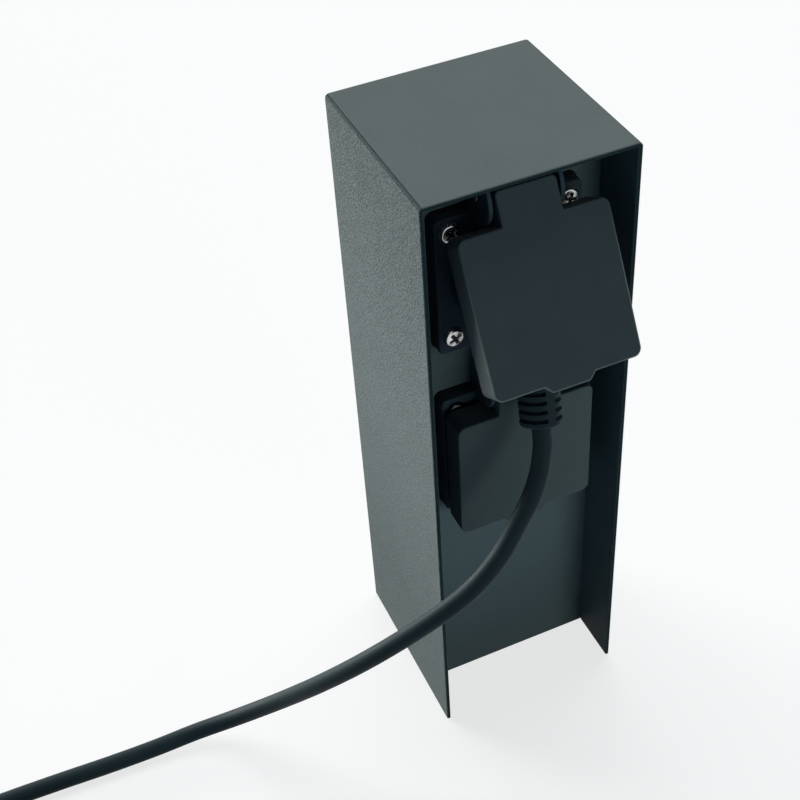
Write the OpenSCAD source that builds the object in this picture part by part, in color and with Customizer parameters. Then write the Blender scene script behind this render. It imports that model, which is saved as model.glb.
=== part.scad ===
// Garden socket post: a folded sheet hood with an open niche at the front, two hinged-lid
// socket outlets on a set-back panel, and a rubber extension lead in the upper outlet.
// Frame: X to the right, Y into the depth (the niche faces -Y), Z up, origin on the ground
// at the middle of the square footprint. Millimetres and degrees.

/* [Post] */
// Width of the post
post_w = 100; // [94:1:130]
// Depth of the post
post_d = 100; // [96:1:130]
// Height of the post
post_h = 334; // [312:1:420]
// Thickness of the folded sheet
sheet_t = 2; // [1.5:0.1:2.4]
// Outer radius of the two bends along the top
bend_r = 3; // [2.6:0.1:5]
// Depth of the niche from the front edge to the panel
niche_d = 29.5; // [26:0.5:36]
// Thickness of the base plate
base_t = 3; // [2:0.5:4]
// Spacing of the anchor holes along X
anchor_x = 64; // [56:1:68]
// Spacing of the anchor holes along Y
anchor_y = 44; // [38:1:48]
// Diameter of the anchor holes
anchor_d = 7; // [5:0.5:9]
// Bore of the bush where the supply cable comes in
entry_d = 12; // [8:0.5:14]

/* [Outlets] */
// Distance of the upper outlet's centre below the top
upper_drop = 60; // [58:0.5:62]
// Distance between the two outlet centres
outlet_pitch = 100; // [98:1:101]
// Width of the flange
flange_side = 70; // [68:0.5:72]
// How much further the flange reaches down than up
flange_drop = 2; // [0:0.5:3]
// Corner radius of the flange
flange_r = 3; // [2:0.5:6]
// Thickness of the flange
flange_t = 6; // [5:0.5:6]
// Thickness of the gasket behind the flange
gasket_t = 1.5; // [1:0.1:1.5]
// Spacing of the four flange screws, both ways
screw_pitch = 56; // [54:0.5:56]
// Outer radius of the round collar
collar_r = 28.5; // [27:0.1:29]
// How far the collar's rim stands ahead of the panel
collar_out = 17; // [16:0.5:18]
// Radius of the well that takes a plug
well_r = 20; // [19.7:0.1:20.5]
// Depth of the well from the rim to the contact face
well_depth = 17.5; // [17:0.1:18]
// Distance between the two contact holes
contact_gap = 19; // [18.5:0.1:19.5]

/* [Lids] */
// Width of a lid
lid_w = 69.5; // [68:0.5:72]
// Height of a lid from its shoulder to its lower edge
lid_h = 69.4; // [66:0.2:70]
// Height of a lid's shoulder above the outlet's centre
lid_shoulder = 31.2; // [30:0.2:32]
// Depth of a lid's side walls, front face included
lid_depth = 13.4; // [11:0.2:13.4]
// Wall thickness of a lid
lid_wall = 2.2; // [1.8:0.1:2.4]
// Corner radius of a lid
lid_r = 5; // [4:0.5:7]
// Rounding along the front edges of a lid
lid_edge = 0.8; // [0.4:0.2:2]
// Width of the hinge tongue
tongue_w = 28; // [26:0.5:30]
// Distance of the hinge axis ahead of the panel
hinge_out = 11.6; // [11:0.2:12.2]
// Height of the hinge axis above the outlet's centre
hinge_up = 44.1; // [43:0.1:44.4]
// Diameter of the hinge pin
pin_d = 3; // [2.5:0.1:3.4]
// Width of the thumb tab on the lower edge
tab_w = 20; // [14:1:26]
// Drop of the thumb tab below the lower edge
tab_drop = 3.3; // [2:0.1:4]
// Height of the seal ring inside a lid
seal_h = 4.9; // [4:0.1:5.4]

/* [Plug and lead] */
// Distance of the plug's back ahead of the panel
plug_back = 39.9; // [38:0.1:41]
// Radius of the plug's back
plug_back_r = 15; // [13:0.5:16]
// Radius of the plug's nose in the well
plug_r = 19.4; // [19:0.1:19.5]
// Diameter of the plug's contact pins
plug_pin_d = 4.8; // [4:0.1:4.8]
// Diameter of the rubber lead
cord_d = 9; // [8:0.5:9.4]
// Largest diameter of the strain relief
relief_d = 19.2; // [16:0.2:19.4]
// Turns of the wound part of the lead
coil_turns = 4.5; // [2.5:1:6.5]
// Radius of the innermost turn
coil_inner_r = 42; // [40:1:48]
// Gap between neighbouring turns
coil_gap = 0.5; // [0.5:0.1:0.8]
// Outer radius of the coupling at the far end
coupling_r = 22.5; // [22:0.5:24]

/* [Hidden] */
$fn = 64;
small_fn = 32;

// Clearances that every fit shares.
slide_gap = 0.2;
cut_gap = 0.5;
run_gap = 0.06;
rest_gap = 0.3;
eps = 0.01;

// Metric fasteners: shank, clearance hole, tapped hole, head and nut.
m4_r = 1.9;
m4_tap_r = 2;
m4_hole_r = 2.2;
m4_head_r = 4;
m4_wide_head_r = 4.7;
m4_head_h = 2.6;
m4_nut_af = 7;
m4_nut_h = 3.2;
m3_r = 1.4;
m3_hole_r = 1.7;
m3_head_r = 2.8;
m3_head_h = 2;
m3_nut_af = 5.5;
m3_nut_h = 2.4;

// The post's own faces.
half_w = post_w / 2;
half_d = post_d / 2;
inner_w = half_w - sheet_t;
inner_top = post_h - sheet_t;
panel_y = -half_d + niche_d;
panel_back_y = panel_y + sheet_t;
cover_y = half_d - sheet_t;
upper_z = post_h - upper_drop;
lower_z = upper_z - outlet_pitch;

// Folded edges and weld studs inside the post.
fold_w = 16;
fold_z = base_t + 1;
fold_gap = 2;
stud_len = 9;
panel_stud_in = 9;
panel_stud_low = 44;
panel_stud_drop = 34;
panel_stud_y = panel_y + panel_stud_in;
panel_stud_z = [panel_stud_low, post_h - panel_stud_drop];
base_fold_h = 22;
base_fold_y0 = panel_y + fold_w + fold_gap;
base_fold_y1 = cover_y - sheet_t - fold_gap / 2;
base_stud_in = 8;
base_stud_z = 13;
base_stud_y = [base_fold_y0 + base_stud_in, base_fold_y1 - base_stud_in];
return_w = 12;
cover_screw_low = 34;
cover_screw_drop = 22;
cover_screw_x = inner_w - return_w / 2;
cover_screw_z = [cover_screw_low, post_h - cover_screw_drop];
cover_corner = 2;

// The supply side at the base.
chamber_mid_y = (panel_back_y + cover_y) / 2;
bush_wall = 2.5;
bush_hole_r = entry_d / 2 + bush_wall;
bush_lip = 2.5;
grip_tab_w = 30;
grip_tab_h = 46;
grip_tab_y = chamber_mid_y + bush_hole_r + bush_lip + 1;
grip_t = 1.8;
grip_z = 35;
grip_h = 10;
grip_screw_x = entry_d / 2 + grip_t + 3.8;

// The terminal block on the panel's back.
block_w = 48;
block_h = 22;
block_d = 18;
block_z = 73;
block_stud_x = 20;
pole_x = [-12, 0, 12];
pole_depth = 6;
block_top = block_z + block_h / 2;
wire_rise = lower_z - block_top;
earth_stud_in = 18;
earth_stud_x = inner_w - earth_stud_in;
earth_stud_z = block_top + 0.31 * wire_rise;
earth_stud_r = 2;
earth_stud_len = 14;

// Inside one outlet, as distances ahead of the panel (behind it below zero).
flange_out = gasket_t + flange_t;
face_out = collar_out - well_depth;
frame_rear = -8;
insert_flange_t = 2;
insert_rear = -22;
block_half_x = contact_gap / 2 + 6.5;
block_half_z = 11;
insert_flange_r = collar_r - 1.7;
insert_screw_x = (well_r + insert_flange_r) / 2;
insert_screw_len = 6;
chamber_r = 4.4;
contact_r = 4.2;
contact_hole_r = plug_pin_d / 2 + 0.3;
terminal_side = 7;
cap_wall = 1.3;
cap_rear = -34;
cap_slot_half_w = contact_gap / 2 + 3.5;
clip_w = 5;
clip_t = 0.8;
clip_z = well_r - 2.6;
clip_out = 11;
earth_side = 6;

// A lid, closed, in the same distances.
lid_front = collar_out + slide_gap + seal_h + lid_wall;
lid_mid = lid_shoulder - lid_h / 2;
seal_r_in = well_r + 2;
seal_r_out = collar_r - 0.5;
pin_r = pin_d / 2;
knuckle_r = pin_r + 1.9;
knuckle_t = 3;
tongue_top = hinge_up + 2;
tongue_edge = 3;
ear_t = 2;
ear_gap = 1.4;
ear_r = min(lid_front - hinge_out, hinge_up - lid_shoulder) - 2 * slide_gap;
ear_top = upper_drop - sheet_t - 1;
ear_back = gasket_t + 1;
ear_foot = 9;
ear_x = tongue_w / 2 + ear_gap;
spring_turns = 6;
spring_wire_r = 0.4;
spring_pitch = 1.4;
spring_r = pin_r + 1.2;
flange_leg = hinge_up - flange_side / 2 + 4;

// The upper lid leans on the back edge of the plug: its inner face lies rest_gap off that edge.
lean_out = plug_back - hinge_out;
lean_down = hinge_up - plug_back_r;
lean_reach = norm([lean_out, lean_down]);
upper_open = atan2(lean_out, lean_down)
  - asin((lid_front - lid_wall - hinge_out - rest_gap) / lean_reach);

// The plug, and the line of its strain relief.
plug_step = collar_out + 3;
plug_groove_w = 8;
plug_groove_z = clip_z - 1.1;
plug_strip_t = 0.9;
plug_pin_len = 19;
neck_len = 11;
relief_from = [0, panel_y - 31, upper_z - 27];
relief_to = relief_from + [-4.45, -15.55, -31.6];
relief_dir = unit(relief_to - relief_from);
relief_slots = 6;
relief_first = 2.55;
relief_band_pitch = 4.1;
relief_slot = 1.9;
relief_slot_depth = 2.6;
relief_spine_w = 4;
relief_spine_turn = 26;

// The lead's free run: it leaves the strain relief, drops to the ground and runs along it.
cord_route = [
  [-9.5, -75.5, 196.5], [-15.5, -79.5, 186.5], [-23.5, -82.5, 176.5],
  [-36.5, -86.5, 161.5], [-53, -87.5, 147], [-74, -82.5, 129.5], [-97, -71.5, 106.5],
  [-116.5, -53, 77], [-134.5, -28, 41.5], [-155, -11, 18.5], [-177.5, -2.5, 8],
  [-200, -0.5, 5], [-225, 0.5, 4.6], [-252, 2, 4.6], [-278, 3, 4.7], [-312, 3.4, 5.3]
];

// The wound part: in on the lower layer, up in half a turn, out on the upper layer.
coil_centre = [-355, -60];
tie_t = 0.9;
tie_w = 14;
tie_gap = 0.3;
coil_pitch = cord_d + coil_gap;
coil_outer_r = coil_inner_r + coil_turns / 2 * coil_pitch;
coil_z = cord_d / 2 + tie_t + tie_gap;
coil_start = 90;
coil_mid = coil_start + coil_turns * 180;
coil_end = coil_start + coil_turns * 360;
coil_rings = 24;
coil_entry = [coil_centre[0] + cord_d, coil_centre[1] + coil_outer_r, coil_z];
coil_tail = 44;
coupling_at = [
  coil_centre[0] + coil_tail + cord_d, coil_centre[1] - coil_outer_r, coupling_r
];
coupling_relief_len = 30;
coupling_len = 46;

// Wires inside the post.
wire_r = 1.4;
block_mid_y = panel_back_y + block_d / 2;
wire_y = panel_y - insert_rear + terminal_side / 2;
earth_wire_y = panel_y - insert_rear + clip_t + earth_side / 2;

// Functions and shapes that several pieces share.

// A point on the smooth curve through p between p[i] and p[i + 1], at t from 0 to 1.
function curve_at(p, i, t) =
  let (n = len(p) - 1, a = p[max(i - 1, 0)], b = p[i], c = p[min(i + 1, n)], d = p[min(i + 2, n)])
  b + t / 2 * ((c - a) + t * ((2 * a - 5 * b + 4 * c - d) + t * (3 * (b - c) + d - a)));

// The curve through p with `steps` pieces between each two points.
function smooth(p, steps) = concat(
  [for (i = [0 : len(p) - 2], k = [0 : steps - 1]) curve_at(p, i, k / steps)],
  [p[len(p) - 1]]
);

function unit(v) = v / norm(v);

function heading(p, i) = unit(p[min(i + 1, len(p) - 1)] - p[max(i - 1, 0)]);

// A closed tube swept along p; side_on is any direction that the path never runs along.
module tube(p, r, sides, side_on) {
  n = len(p);
  rings = [
    for (i = [0 : n - 1])
      let (t = heading(p, i), u = unit(cross(side_on, t)), v = cross(t, u))
      for (j = [0 : sides - 1]) p[i] + r * (cos(360 * j / sides) * u + sin(360 * j / sides) * v)
  ];
  walls = [
    for (i = [0 : n - 2], j = [0 : sides - 1])
      let (a = i * sides + j, b = i * sides + (j + 1) % sides)
      each [[a, a + sides, b + sides], [a, b + sides, b]]
  ];
  first_end = [for (j = [1 : sides - 2]) [0, j, j + 1]];
  last = (n - 1) * sides;
  last_end = [for (j = [1 : sides - 2]) [last, last + j + 1, last + j]];
  polyhedron(points = rings, faces = concat(walls, first_end, last_end), convexity = 10);
}

// Least distance between points of p that lie more than `skip` steps apart along it.
function least_gap(p, skip) =
  min([for (i = [0 : len(p) - 1 - skip]) min([for (j = [i + skip : len(p) - 1]) norm(p[i] - p[j])])]);

// Places children with their Z axis running from a to b.
module along(a, b) {
  d = b - a;
  translate(a) rotate([0, acos(d[2] / norm(d)), atan2(d[1], d[0])]) children();
}

module at_outlet(z) {
  translate([0, panel_y, z]) children();
}

module round_rect(w, h, r) {
  square([w - 2 * r, h], center = true);
  square([w, h - 2 * r], center = true);
  for (x = [-1, 1], y = [-1, 1]) translate([x * (w / 2 - r), y * (h / 2 - r)]) circle(r, $fn = small_fn);
}

// A rectangle on the X axis whose two far corners are rounded.
module round_front(w, d, r) {
  translate([-w / 2, 0]) square([w, d - r]);
  translate([-w / 2 + r, 0]) square([w - 2 * r, d]);
  for (x = [-1, 1]) translate([x * (w / 2 - r), d - r]) circle(r, $fn = small_fn);
}

// A rod along Y between two distances ahead of the panel.
module rod(r, from, to) {
  translate([0, -from, 0]) rotate([90, 0, 0]) cylinder(r = r, h = to - from);
}

// A plate in X and Z between two distances ahead of the panel.
module slab(w, h, r, from, to) {
  translate([0, -from, 0]) rotate([90, 0, 0]) linear_extrude(to - from) round_rect(w, h, r);
}

// A block between two distances ahead of the panel.
module block(x0, x1, from, to, z0, z1) {
  translate([x0, -to, z0]) cube([x1 - x0, to - from, z1 - z0]);
}

// A turned shape on the Y axis; profile points are [radius, distance ahead of the panel].
module turned(profile) {
  rotate([90, 0, 0]) rotate_extrude() polygon(profile);
}

// A hexagon nut on Z with its hole.
module nut(af, hole_r, h) {
  difference() {
    cylinder(r = af / sqrt(3), h = h, $fn = 6);
    translate([0, 0, -eps]) cylinder(r = hole_r, h = h + 2 * eps, $fn = small_fn);
  }
}

// A pan-head screw with a cross recess; the head stands on Z = 0 and the shank goes down.
module pan_screw(r, head_r, head_h, len) {
  translate([0, 0, -len]) cylinder(r = r, h = len, $fn = small_fn);
  difference() {
    intersection() {
      cylinder(r = head_r, h = head_h, $fn = small_fn);
      translate([0, 0, head_h - 2.2 * head_r]) sphere(r = 2.2 * head_r, $fn = 48);
    }
    for (a = [0, 90]) rotate(a) translate([-head_r * 0.55, -head_r * 0.13, head_h * 0.45])
      cube([head_r * 1.1, head_r * 0.26, head_h]);
  }
}

module at_corners(dx, dz) {
  for (x = [-1, 1], z = [-1, 1]) translate([x * dx / 2, 0, z * dz / 2]) children();
}

// The hood: one strip folded into an upside-down U, with return edges at the back and weld studs.
module hood_outline(w, h, r) {
  translate([-w / 2, 0]) square([w, h - r]);
  translate([-w / 2 + r, 0]) square([w - 2 * r, h]);
  for (x = [-1, 1]) translate([x * (w / 2 - r), h - r]) circle(r);
}

// A stud that stands inwards from a side of the hood, from the middle of the sheet.
module side_stud(x, y, z) {
  translate([x * (inner_w + sheet_t / 2), y, z]) rotate([0, -90 * x, 0])
    cylinder(r = m4_r, h = stud_len + sheet_t / 2, $fn = small_fn);
}

module hood() {
  color("dimgray") {
    translate([0, half_d, 0]) rotate([90, 0, 0]) linear_extrude(post_d) difference() {
      hood_outline(post_w, post_h, bend_r);
      translate([0, -eps]) hood_outline(2 * inner_w, inner_top + eps, bend_r - sheet_t);
    }
    for (x = [-1, 1]) {
      difference() {
        translate([x > 0 ? inner_w - return_w : -inner_w - sheet_t / 2, cover_y - sheet_t, fold_z])
          cube([return_w + sheet_t / 2, sheet_t, inner_top - bend_r - fold_z]);
        for (z = cover_screw_z) translate([x * cover_screw_x, cover_y + eps, z]) rotate([90, 0, 0])
          cylinder(r = m4_tap_r, h = sheet_t + 2 * eps, $fn = small_fn);
      }
      for (z = panel_stud_z) side_stud(x, panel_stud_y, z);
      for (y = base_stud_y) side_stud(x, y, base_stud_z);
    }
  }
}

// The set-back panel: a tray with folds at the sides and top, two round openings and weld studs.
module socket_panel() {
  color("darkslategray") {
    difference() {
      union() {
        translate([-inner_w, panel_y, 0]) cube([2 * inner_w, sheet_t, inner_top - bend_r]);
        translate([-inner_w + bend_r, panel_y, 0]) cube([2 * (inner_w - bend_r), sheet_t, inner_top]);
        translate([-inner_w + bend_r, panel_y, inner_top - sheet_t])
          cube([2 * (inner_w - bend_r), fold_w, sheet_t]);
        for (x = [-1, 1]) translate([x > 0 ? inner_w - sheet_t : -inner_w, panel_y, fold_z])
          cube([sheet_t, fold_w, inner_top - 2 * bend_r - fold_z]);
      }
      for (z = [lower_z, upper_z]) at_outlet(z) {
        rod(collar_r + cut_gap, -sheet_t - eps, eps);
        at_corners(screw_pitch, screw_pitch) rod(m4_hole_r, -sheet_t - eps, eps);
      }
      for (z = panel_stud_z) translate([-half_w, panel_stud_y, z]) rotate([0, 90, 0])
        cylinder(r = m4_hole_r, h = post_w, $fn = small_fn);
    }
    for (x = [-1, 1]) translate([x * block_stud_x, panel_y + sheet_t / 2, block_z]) rotate([-90, 0, 0])
      cylinder(r = m3_r, h = sheet_t / 2 + block_d + m3_nut_h + 1, $fn = small_fn);
    translate([earth_stud_x, panel_y + sheet_t / 2, earth_stud_z]) rotate([-90, 0, 0])
      cylinder(r = earth_stud_r, h = sheet_t / 2 + earth_stud_len, $fn = small_fn);
  }
}

module panel_nuts() {
  color("silver") for (x = [-1, 1], z = panel_stud_z)
    translate([x * (inner_w - sheet_t), panel_stud_y, z]) rotate([0, -90 * x, 0])
      nut(m4_nut_af, m4_tap_r, m4_nut_h);
}

// The rear cover lies flush between the hood's sides, on the return edges.
module rear_cover() {
  w = 2 * (inner_w - slide_gap);
  top = inner_top - slide_gap;
  c = cover_corner + bend_r - sheet_t;
  color("dimgray") difference() {
    translate([0, half_d, 0]) rotate([90, 0, 0]) linear_extrude(sheet_t) polygon([
      [-w / 2, slide_gap], [w / 2, slide_gap], [w / 2, top - c],
      [w / 2 - c, top], [-w / 2 + c, top], [-w / 2, top - c]
    ]);
    for (x = [-1, 1], z = cover_screw_z) translate([x * cover_screw_x, half_d + eps, z]) rotate([90, 0, 0])
      cylinder(r = m4_hole_r, h = sheet_t + 2 * eps, $fn = small_fn);
  }
}

module rear_cover_screws() {
  color("silver") for (x = [-1, 1], z = cover_screw_z)
    translate([x * cover_screw_x, half_d, z]) rotate([-90, 0, 0])
      pan_screw(m4_r, m4_head_r, m4_head_h, 2 * sheet_t + 5);
}

// The base plate closes the wiring space from below and carries the anchor holes.
module base_plate() {
  color("dimgray") difference() {
    union() {
      translate([-inner_w, panel_back_y, 0]) cube([2 * inner_w, cover_y - panel_back_y, base_t]);
      for (x = [-1, 1]) translate([x > 0 ? inner_w - base_t : -inner_w, base_fold_y0, 0])
        cube([base_t, base_fold_y1 - base_fold_y0, base_fold_h]);
      translate([-grip_tab_w / 2, grip_tab_y, 0]) cube([grip_tab_w, sheet_t, grip_tab_h]);
    }
    for (x = [-1, 1], y = [-1, 1]) translate([x * anchor_x / 2, chamber_mid_y + y * anchor_y / 2, -eps])
      cylinder(d = anchor_d, h = base_t + 2 * eps);
    translate([0, chamber_mid_y, -eps]) cylinder(r = bush_hole_r, h = base_t + 2 * eps);
    for (y = base_stud_y) translate([-half_w, y, base_stud_z]) rotate([0, 90, 0])
      cylinder(r = m4_hole_r, h = post_w, $fn = small_fn);
    for (x = [-1, 1]) translate([x * grip_screw_x, grip_tab_y - eps, grip_z]) rotate([-90, 0, 0])
      cylinder(r = m4_tap_r, h = sheet_t + 2 * eps, $fn = small_fn);
  }
}

module base_nuts() {
  color("silver") for (x = [-1, 1], y = base_stud_y)
    translate([x * (inner_w - base_t), y, base_stud_z]) rotate([0, -90 * x, 0])
      nut(m4_nut_af, m4_tap_r, m4_nut_h);
}

// A rubber bush lines the cable hole; its lip lies on top of the plate.
module entry_bush() {
  color("black") translate([0, chamber_mid_y, 0]) difference() {
    union() {
      cylinder(r = bush_hole_r, h = base_t + bush_lip);
      translate([0, 0, base_t]) cylinder(r = bush_hole_r + bush_lip, h = bush_lip);
    }
    translate([0, 0, -eps]) cylinder(d = entry_d, h = base_t + bush_lip + 2 * eps);
  }
}

// A saddle that clamps the supply cable to the base plate's upright tab.
module cord_grip() {
  r = entry_d / 2;
  color("gainsboro") difference() {
    translate([0, 0, grip_z - grip_h / 2]) linear_extrude(grip_h) difference() {
      union() {
        translate([-grip_tab_w / 2, grip_tab_y - grip_t]) square([grip_tab_w, grip_t]);
        translate([0, grip_tab_y - r]) circle(r + grip_t);
        translate([-r - grip_t, grip_tab_y - r]) square([2 * (r + grip_t), r]);
      }
      translate([0, grip_tab_y - r]) circle(r);
      translate([-r, grip_tab_y - r]) square([2 * r, r + grip_t + eps]);
      translate([-grip_tab_w, grip_tab_y]) square([2 * grip_tab_w, r + 2 * grip_t]);
    }
    for (x = [-1, 1]) translate([x * grip_screw_x, grip_tab_y - grip_t - eps, grip_z]) rotate([-90, 0, 0])
      cylinder(r = m4_hole_r, h = grip_t + 2 * eps, $fn = small_fn);
  }
}

module cord_grip_screws() {
  color("silver") for (x = [-1, 1])
    translate([x * grip_screw_x, grip_tab_y - grip_t, grip_z]) rotate([90, 0, 0])
      pan_screw(m4_r, m3_head_r, m4_head_h, grip_t + sheet_t + 3);
}

// The terminal block sits on two weld studs behind the panel.
module terminal_block() {
  color("whitesmoke") difference() {
    translate([-block_w / 2, panel_back_y, block_z - block_h / 2]) cube([block_w, block_d, block_h]);
    for (x = [-1, 1]) translate([x * block_stud_x, panel_back_y - eps, block_z]) rotate([-90, 0, 0])
      cylinder(r = m3_hole_r, h = block_d + 2 * eps, $fn = small_fn);
    for (x = pole_x, z = [-1, 1]) translate([x, panel_back_y + block_d + eps, block_z + z * block_h / 4])
      rotate([90, 0, 0]) cylinder(r = m3_head_r + slide_gap, h = pole_depth + eps, $fn = small_fn);
  }
}

module terminal_screws() {
  color("silver") for (x = pole_x, z = [-1, 1])
    translate([x, panel_back_y + block_d - pole_depth, block_z + z * block_h / 4]) rotate([-90, 0, 0])
      pan_screw_top(m3_head_r, m3_head_h + 1);
}

// The slotted head of a terminal screw, standing on Z = 0.
module pan_screw_top(r, h) {
  difference() {
    cylinder(r = r, h = h, $fn = small_fn);
    translate([-r, -0.4, h - 1]) cube([2 * r, 0.8, 2]);
  }
}

module terminal_nuts() {
  color("silver") for (x = [-1, 1]) translate([x * block_stud_x, panel_back_y + block_d, block_z])
    rotate([-90, 0, 0]) nut(m3_nut_af, m3_r + slide_gap / 2, m3_nut_h);
}

module earth_nut() {
  color("silver") translate([earth_stud_x, panel_back_y + 1.2, earth_stud_z]) rotate([-90, 0, 0])
    nut(m4_nut_af, earth_stud_r + slide_gap / 2, m4_nut_h);
}

// Wires: terminal block to the lower outlet, and on from there to the upper one.
module wire(p) {
  last = len(p) - 1;
  bends = [for (i = [1 : last - 1]) p[i]];
  tube(concat([p[0]], smooth(bends, 3), [p[last]]), wire_r, 8, [0, 1, 0.2]);
}

module line_wires(pole, side) {
  x = side * contact_gap / 2;
  half = terminal_side / 2;
  wire([
    [pole, block_mid_y, block_top], [pole, block_mid_y, block_top + 0.13 * wire_rise],
    [(pole + x) / 2, (block_mid_y + wire_y) / 2, block_top + 0.42 * wire_rise],
    [x, wire_y, block_top + 0.6 * wire_rise], [x, wire_y, lower_z - half]
  ]);
  wire([
    [x, wire_y, lower_z + half], [x, wire_y, lower_z + 32],
    [x + 2 * side, wire_y + 3, (lower_z + upper_z) / 2],
    [x, wire_y, upper_z - 32], [x, wire_y, upper_z - half]
  ]);
}

module live_wires() {
  color("saddlebrown") line_wires(pole_x[0], -1);
}

module neutral_wires() {
  color("royalblue") line_wires(pole_x[2], 1);
}

module earth_wires() {
  half = earth_side / 2;
  y = block_mid_y;
  color("yellowgreen") {
    wire([
      [-2.5, y, block_top], [-2.5, y, block_top + 0.13 * wire_rise],
      [-1, (y + earth_wire_y) / 2, block_top + 0.42 * wire_rise],
      [0, earth_wire_y, block_top + 0.6 * wire_rise], [0, earth_wire_y, lower_z - half]
    ]);
    wire([
      [0, earth_wire_y, lower_z + half], [0, earth_wire_y, lower_z + 32],
      [0, earth_wire_y + 4, (lower_z + upper_z) / 2],
      [0, earth_wire_y, upper_z - 32], [0, earth_wire_y, upper_z - half]
    ]);
    wire([
      [2.5, y, block_top], [2.5, y, block_top + 0.09 * wire_rise],
      [0.27 * earth_stud_x, y - 2, block_top + 0.15 * wire_rise],
      [0.6 * earth_stud_x, y - 5, block_top + 0.22 * wire_rise],
      [earth_stud_x, panel_back_y + wire_r + 1, earth_stud_z - 9],
      [earth_stud_x, panel_back_y + wire_r, earth_stud_z - 5]
    ]);
    translate([earth_stud_x, panel_back_y, earth_stud_z]) rotate([-90, 0, 0]) difference() {
      cylinder(r = 5.4, h = 1.2, $fn = small_fn);
      translate([0, 0, -eps]) cylinder(r = earth_stud_r + slide_gap, h = 2, $fn = small_fn);
    }
  }
}

// A plate of the flange's outline, larger by `grow` in width and height.
module flange_slab(grow, r, from, to) {
  translate([0, 0, -flange_drop / 2])
    slab(flange_side + grow, flange_side + flange_drop + grow, r, from, to);
}

// A hinge ear from the side: a round cheek about the hinge axis, on a foot that meets the flange.
module ear_profile() {
  intersection() {
    translate([hinge_out, hinge_up]) circle(ear_r);
    translate([ear_back, 0]) square([2 * lid_front, ear_top]);
  }
  polygon([
    [gasket_t, flange_side / 2 - ear_foot], [flange_out + 0.5, flange_side / 2 - ear_foot],
    [lid_front - lid_depth - 1, lid_shoulder + 1], [hinge_out, hinge_up],
    [ear_back, hinge_up], [ear_back, flange_side / 2]
  ]);
}

// One outlet's moulded frame: flange, collar with its well, and the two hinge ears.
module socket_frame(z) {
  color("black") at_outlet(z) difference() {
    union() {
      flange_slab(0, flange_r, gasket_t, flange_out - 1);
      flange_slab(-2, flange_r - 1, gasket_t, flange_out);
      turned([
        [well_r, frame_rear], [collar_r, frame_rear], [collar_r, collar_out - 1.2],
        [collar_r - 1.2, collar_out], [well_r, collar_out]
      ]);
      for (x = [-1, 1]) translate([x > 0 ? ear_x : -ear_x - ear_t, 0, 0])
        rotate([90, 0, 90]) linear_extrude(ear_t) mirror([1, 0]) ear_profile();
    }
    rod(well_r, frame_rear - eps, collar_out + eps);
    at_corners(screw_pitch, screw_pitch) rod(m4_hole_r, gasket_t - eps, flange_out + eps);
    translate([-lid_w, -hinge_out, hinge_up]) rotate([0, 90, 0])
      cylinder(r = pin_r + run_gap / 3, h = 2 * lid_w, $fn = small_fn);
    for (x = [-1, 1]) translate([x * insert_screw_x, 0, 0]) rod(m3_r, frame_rear - eps, frame_rear + 7);
  }
}

module gasket(z) {
  color("black") at_outlet(z) difference() {
    flange_slab(1, flange_r + 0.5, 0, gasket_t);
    rod(collar_r + cut_gap, -eps, gasket_t + eps);
    at_corners(screw_pitch, screw_pitch) rod(m4_hole_r, -eps, gasket_t + eps);
  }
}

module frame_screws(z) {
  color("silver") at_outlet(z) at_corners(screw_pitch, screw_pitch)
    translate([0, -flange_out, 0]) rotate([90, 0, 0])
      pan_screw(m4_r, m4_wide_head_r, m4_head_h, flange_out + sheet_t + m4_nut_h + 2);
}

module frame_nuts(z) {
  color("silver") at_outlet(z) at_corners(screw_pitch, screw_pitch)
    translate([0, sheet_t, 0]) rotate([-90, 0, 0])
      nut(m4_nut_af, m4_tap_r, m4_nut_h);
}

// The contact insert closes the well from behind and holds contacts and earth clip.
module insert(z) {
  color("dimgray") at_outlet(z) difference() {
    union() {
      rod(well_r - slide_gap, frame_rear, face_out);
      rod(insert_flange_r, frame_rear - insert_flange_t, frame_rear);
      block(-block_half_x, block_half_x, insert_rear, frame_rear, -block_half_z, block_half_z);
    }
    for (x = [-1, 1]) translate([x * contact_gap / 2, 0, 0]) {
      rod(contact_hole_r, insert_rear - eps, face_out + eps);
      rod(chamber_r, insert_rear - eps, face_out - 3.5);
    }
    for (s = [-1, 1]) scale([1, 1, s]) block(
      -clip_w / 2 - slide_gap, clip_w / 2 + slide_gap, frame_rear - insert_flange_t - eps, face_out + eps,
      clip_z - slide_gap, clip_z + clip_t + slide_gap
    );
    for (x = [-1, 1]) translate([x * insert_screw_x, 0, 0])
      rod(m3_hole_r, frame_rear - insert_flange_t - eps, frame_rear + 1);
  }
}

module insert_screws(z) {
  rear = frame_rear - insert_flange_t;
  color("silver") at_outlet(z) for (x = [-1, 1])
    translate([x * insert_screw_x, -rear, 0]) rotate([-90, 0, 0])
      pan_screw(m3_r - slide_gap / 2, m3_head_r - 0.4, m3_head_h, insert_flange_t + insert_screw_len);
}

// Brass contact sleeves, each with its wire terminal behind the insert.
module contacts(z) {
  half = terminal_side / 2;
  color("goldenrod") at_outlet(z) for (x = [-1, 1]) translate([x * contact_gap / 2, 0, 0]) {
    difference() {
      rod(contact_r, insert_rear, face_out - 4.5);
      rod(contact_hole_r, insert_rear + 1, face_out - 4);
    }
    block(-half, half, insert_rear - terminal_side, insert_rear, -half, half);
  }
}

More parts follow.
